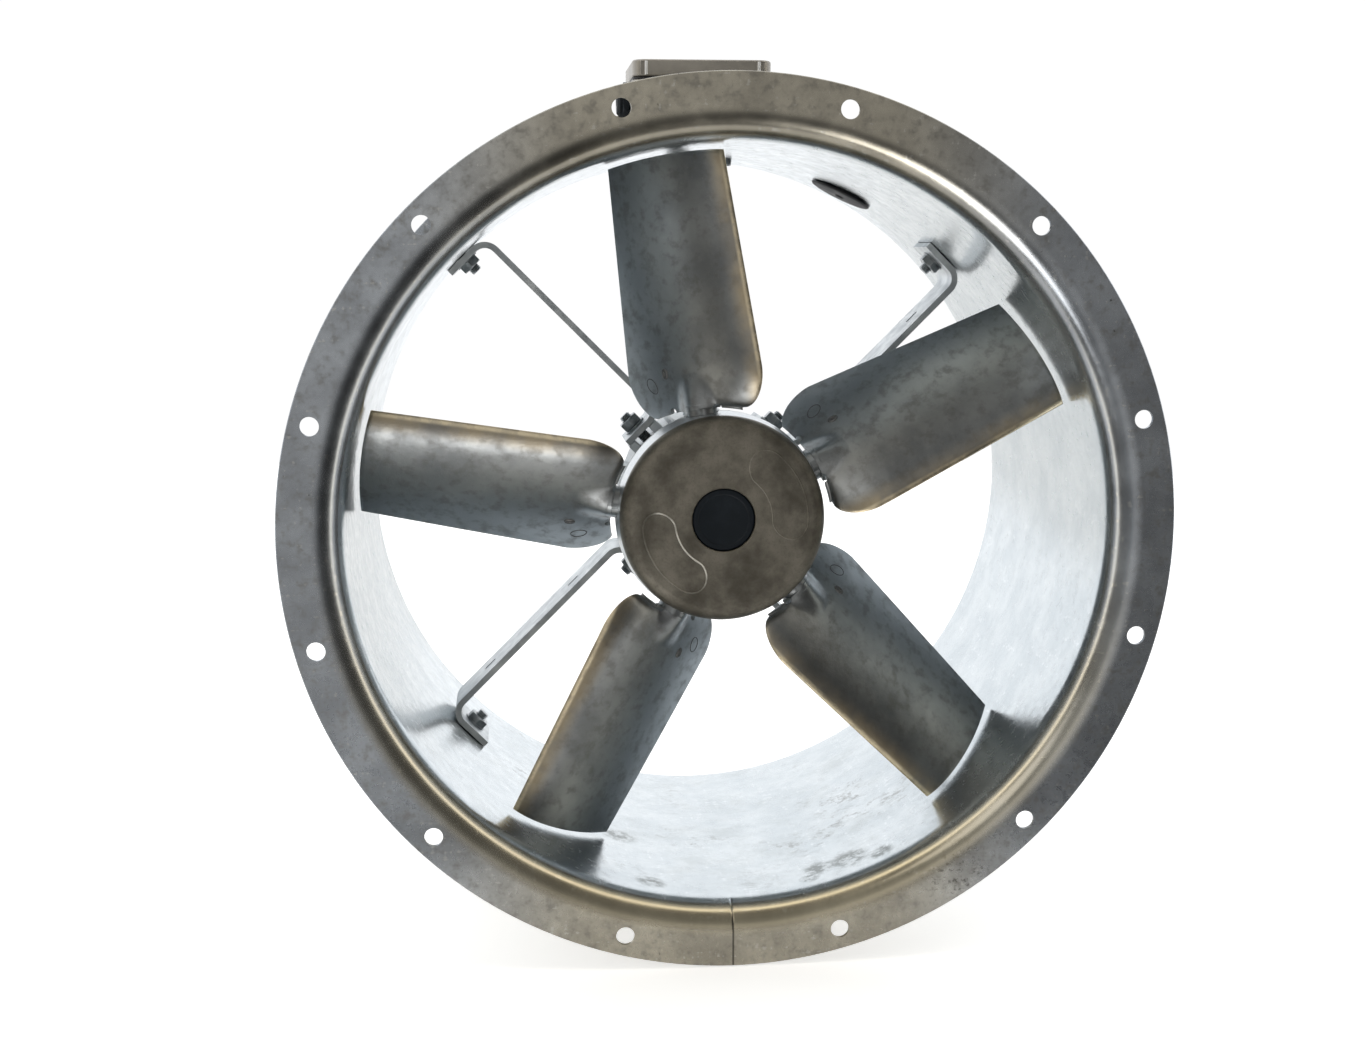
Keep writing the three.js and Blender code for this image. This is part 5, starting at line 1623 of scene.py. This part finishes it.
# The room's tone from behind the camera (0) to behind the fan (1).
ROOM_TONES = (
    (0.00, (0.62, 0.61, 0.59)),
    (0.015, (0.52, 0.515, 0.50)),
    (0.04, (0.24, 0.24, 0.235)),
    (0.10, (0.15, 0.15, 0.145)),
    (0.31, (0.15, 0.145, 0.135)),
    (0.365, (3.00, 2.80, 2.40)),
    (0.42, (0.45, 0.46, 0.47)),
    (0.50, (0.60, 0.62, 0.64)),
    (0.60, (1.20, 1.22, 1.25)),
    (1.00, (1.35, 1.37, 1.40)),
)


def build_world():
    """A white room that is brightest behind the fan, and dim in front of it with more light from
    above and from the left."""
    world = bpy.data.worlds.new("studio")
    bpy.context.scene.world = world
    world.use_nodes = True
    w = Nodes(world.node_tree)
    way = w.parts(w.node("ShaderNodeTexCoord", {}).outputs["Generated"])
    ramp = w.node("ShaderNodeValToRGB", {0: w.remap(way["Y"], -1, 1, kind="LINEAR")})
    elements = ramp.color_ramp.elements
    while len(elements) < len(ROOM_TONES):
        elements.new(0.5)
    for element, (position, colour) in zip(elements, ROOM_TONES):
        element.position = position
        element.color = (*colour, 1)
    up = w.times(way["Z"], FRONT_LIGHT_FROM_ABOVE)
    right = w.times(way["X"], -FRONT_LIGHT_FROM_LEFT)
    level = w.math("MAXIMUM", w.math("ADD", w.math("ADD", up, right), 1.0), 0.3)
    front = w.remap(way["Y"], -0.35, -0.7, kind="LINEAR")
    share = w.math("ADD", w.times(w.math("SUBTRACT", level, 1.0), front), 1.0)
    tone = w.node("ShaderNodeVectorMath", {0: ramp.outputs[0], "Scale": share}, operation="SCALE")
    tone = w.blend(w.seen_directly(), tone.outputs[0], (1.02, 1.02, 1.02))
    w.feed(w.tree.nodes["Background"], {"Color": tone, "Strength": 1.0})


def build_floor():
    sides = 96
    radius = 1500
    ahead = 1300  # of the origin, so that the floor ends a little in front of the fan
    points = [(x, y, 0) for x, y in arc(0, ahead, radius, 0, 360, sides)[:-1]]
    floor = make("floor", points, [tuple(range(sides))])
    floor.location.z = CAD_BOX[0].z - 0.0005
    s = Shader("pale_floor")
    tone = s.blend(s.noise(900, 2, 0.5), (0.88, 0.88, 0.88), (0.90, 0.90, 0.90))
    strength = s.remap(s.seen_directly(), 0.0, 1.0, 0.2, 0.55)
    glow = {"Emission Color": (1.0, 1.0, 1.0), "Emission Strength": strength}
    floor.data.materials.append(s.finish(tone, 0.7, 0.0, **glow))


def build_lights():
    """Two soft lights in front of the fan, turned to its origin."""
    bpy.context.scene.view_settings.view_transform = "Standard"
    bpy.context.scene.view_settings.look = "None"
    lights = (
        ("soft_left", (-1.1, -1.5, 1.1), 1.0, 3, (1.0, 0.98, 0.95)),
        ("soft_low", (-0.35, -1.0, -1.0), 0.6, 5, (1.0, 0.99, 0.97)),
    )
    for name, place, size, power, colour in lights:
        data = bpy.data.lights.new(name, "AREA")
        data.size = size
        data.energy = power
        data.color = colour
        light = bpy.data.objects.new(name, data)
        bpy.context.collection.objects.link(light)
        light.location = place
        light.rotation_euler = (-Vector(place)).to_track_quat("-Z", "Y").to_euler()


# ---- the fan ----

build_camera()
build_world()
build_lights()
build_floor()
build_casing()
build_plug()
build_blades()
build_hub()
build_hub_fasteners()
build_hub_centre()
build_shaft()
build_bearings()
build_motor_frame()
build_shields()
build_stator()
build_arms()
build_box()
build_terminals()
build_gland()
build_lead()

bpy.context.view_layer.update()
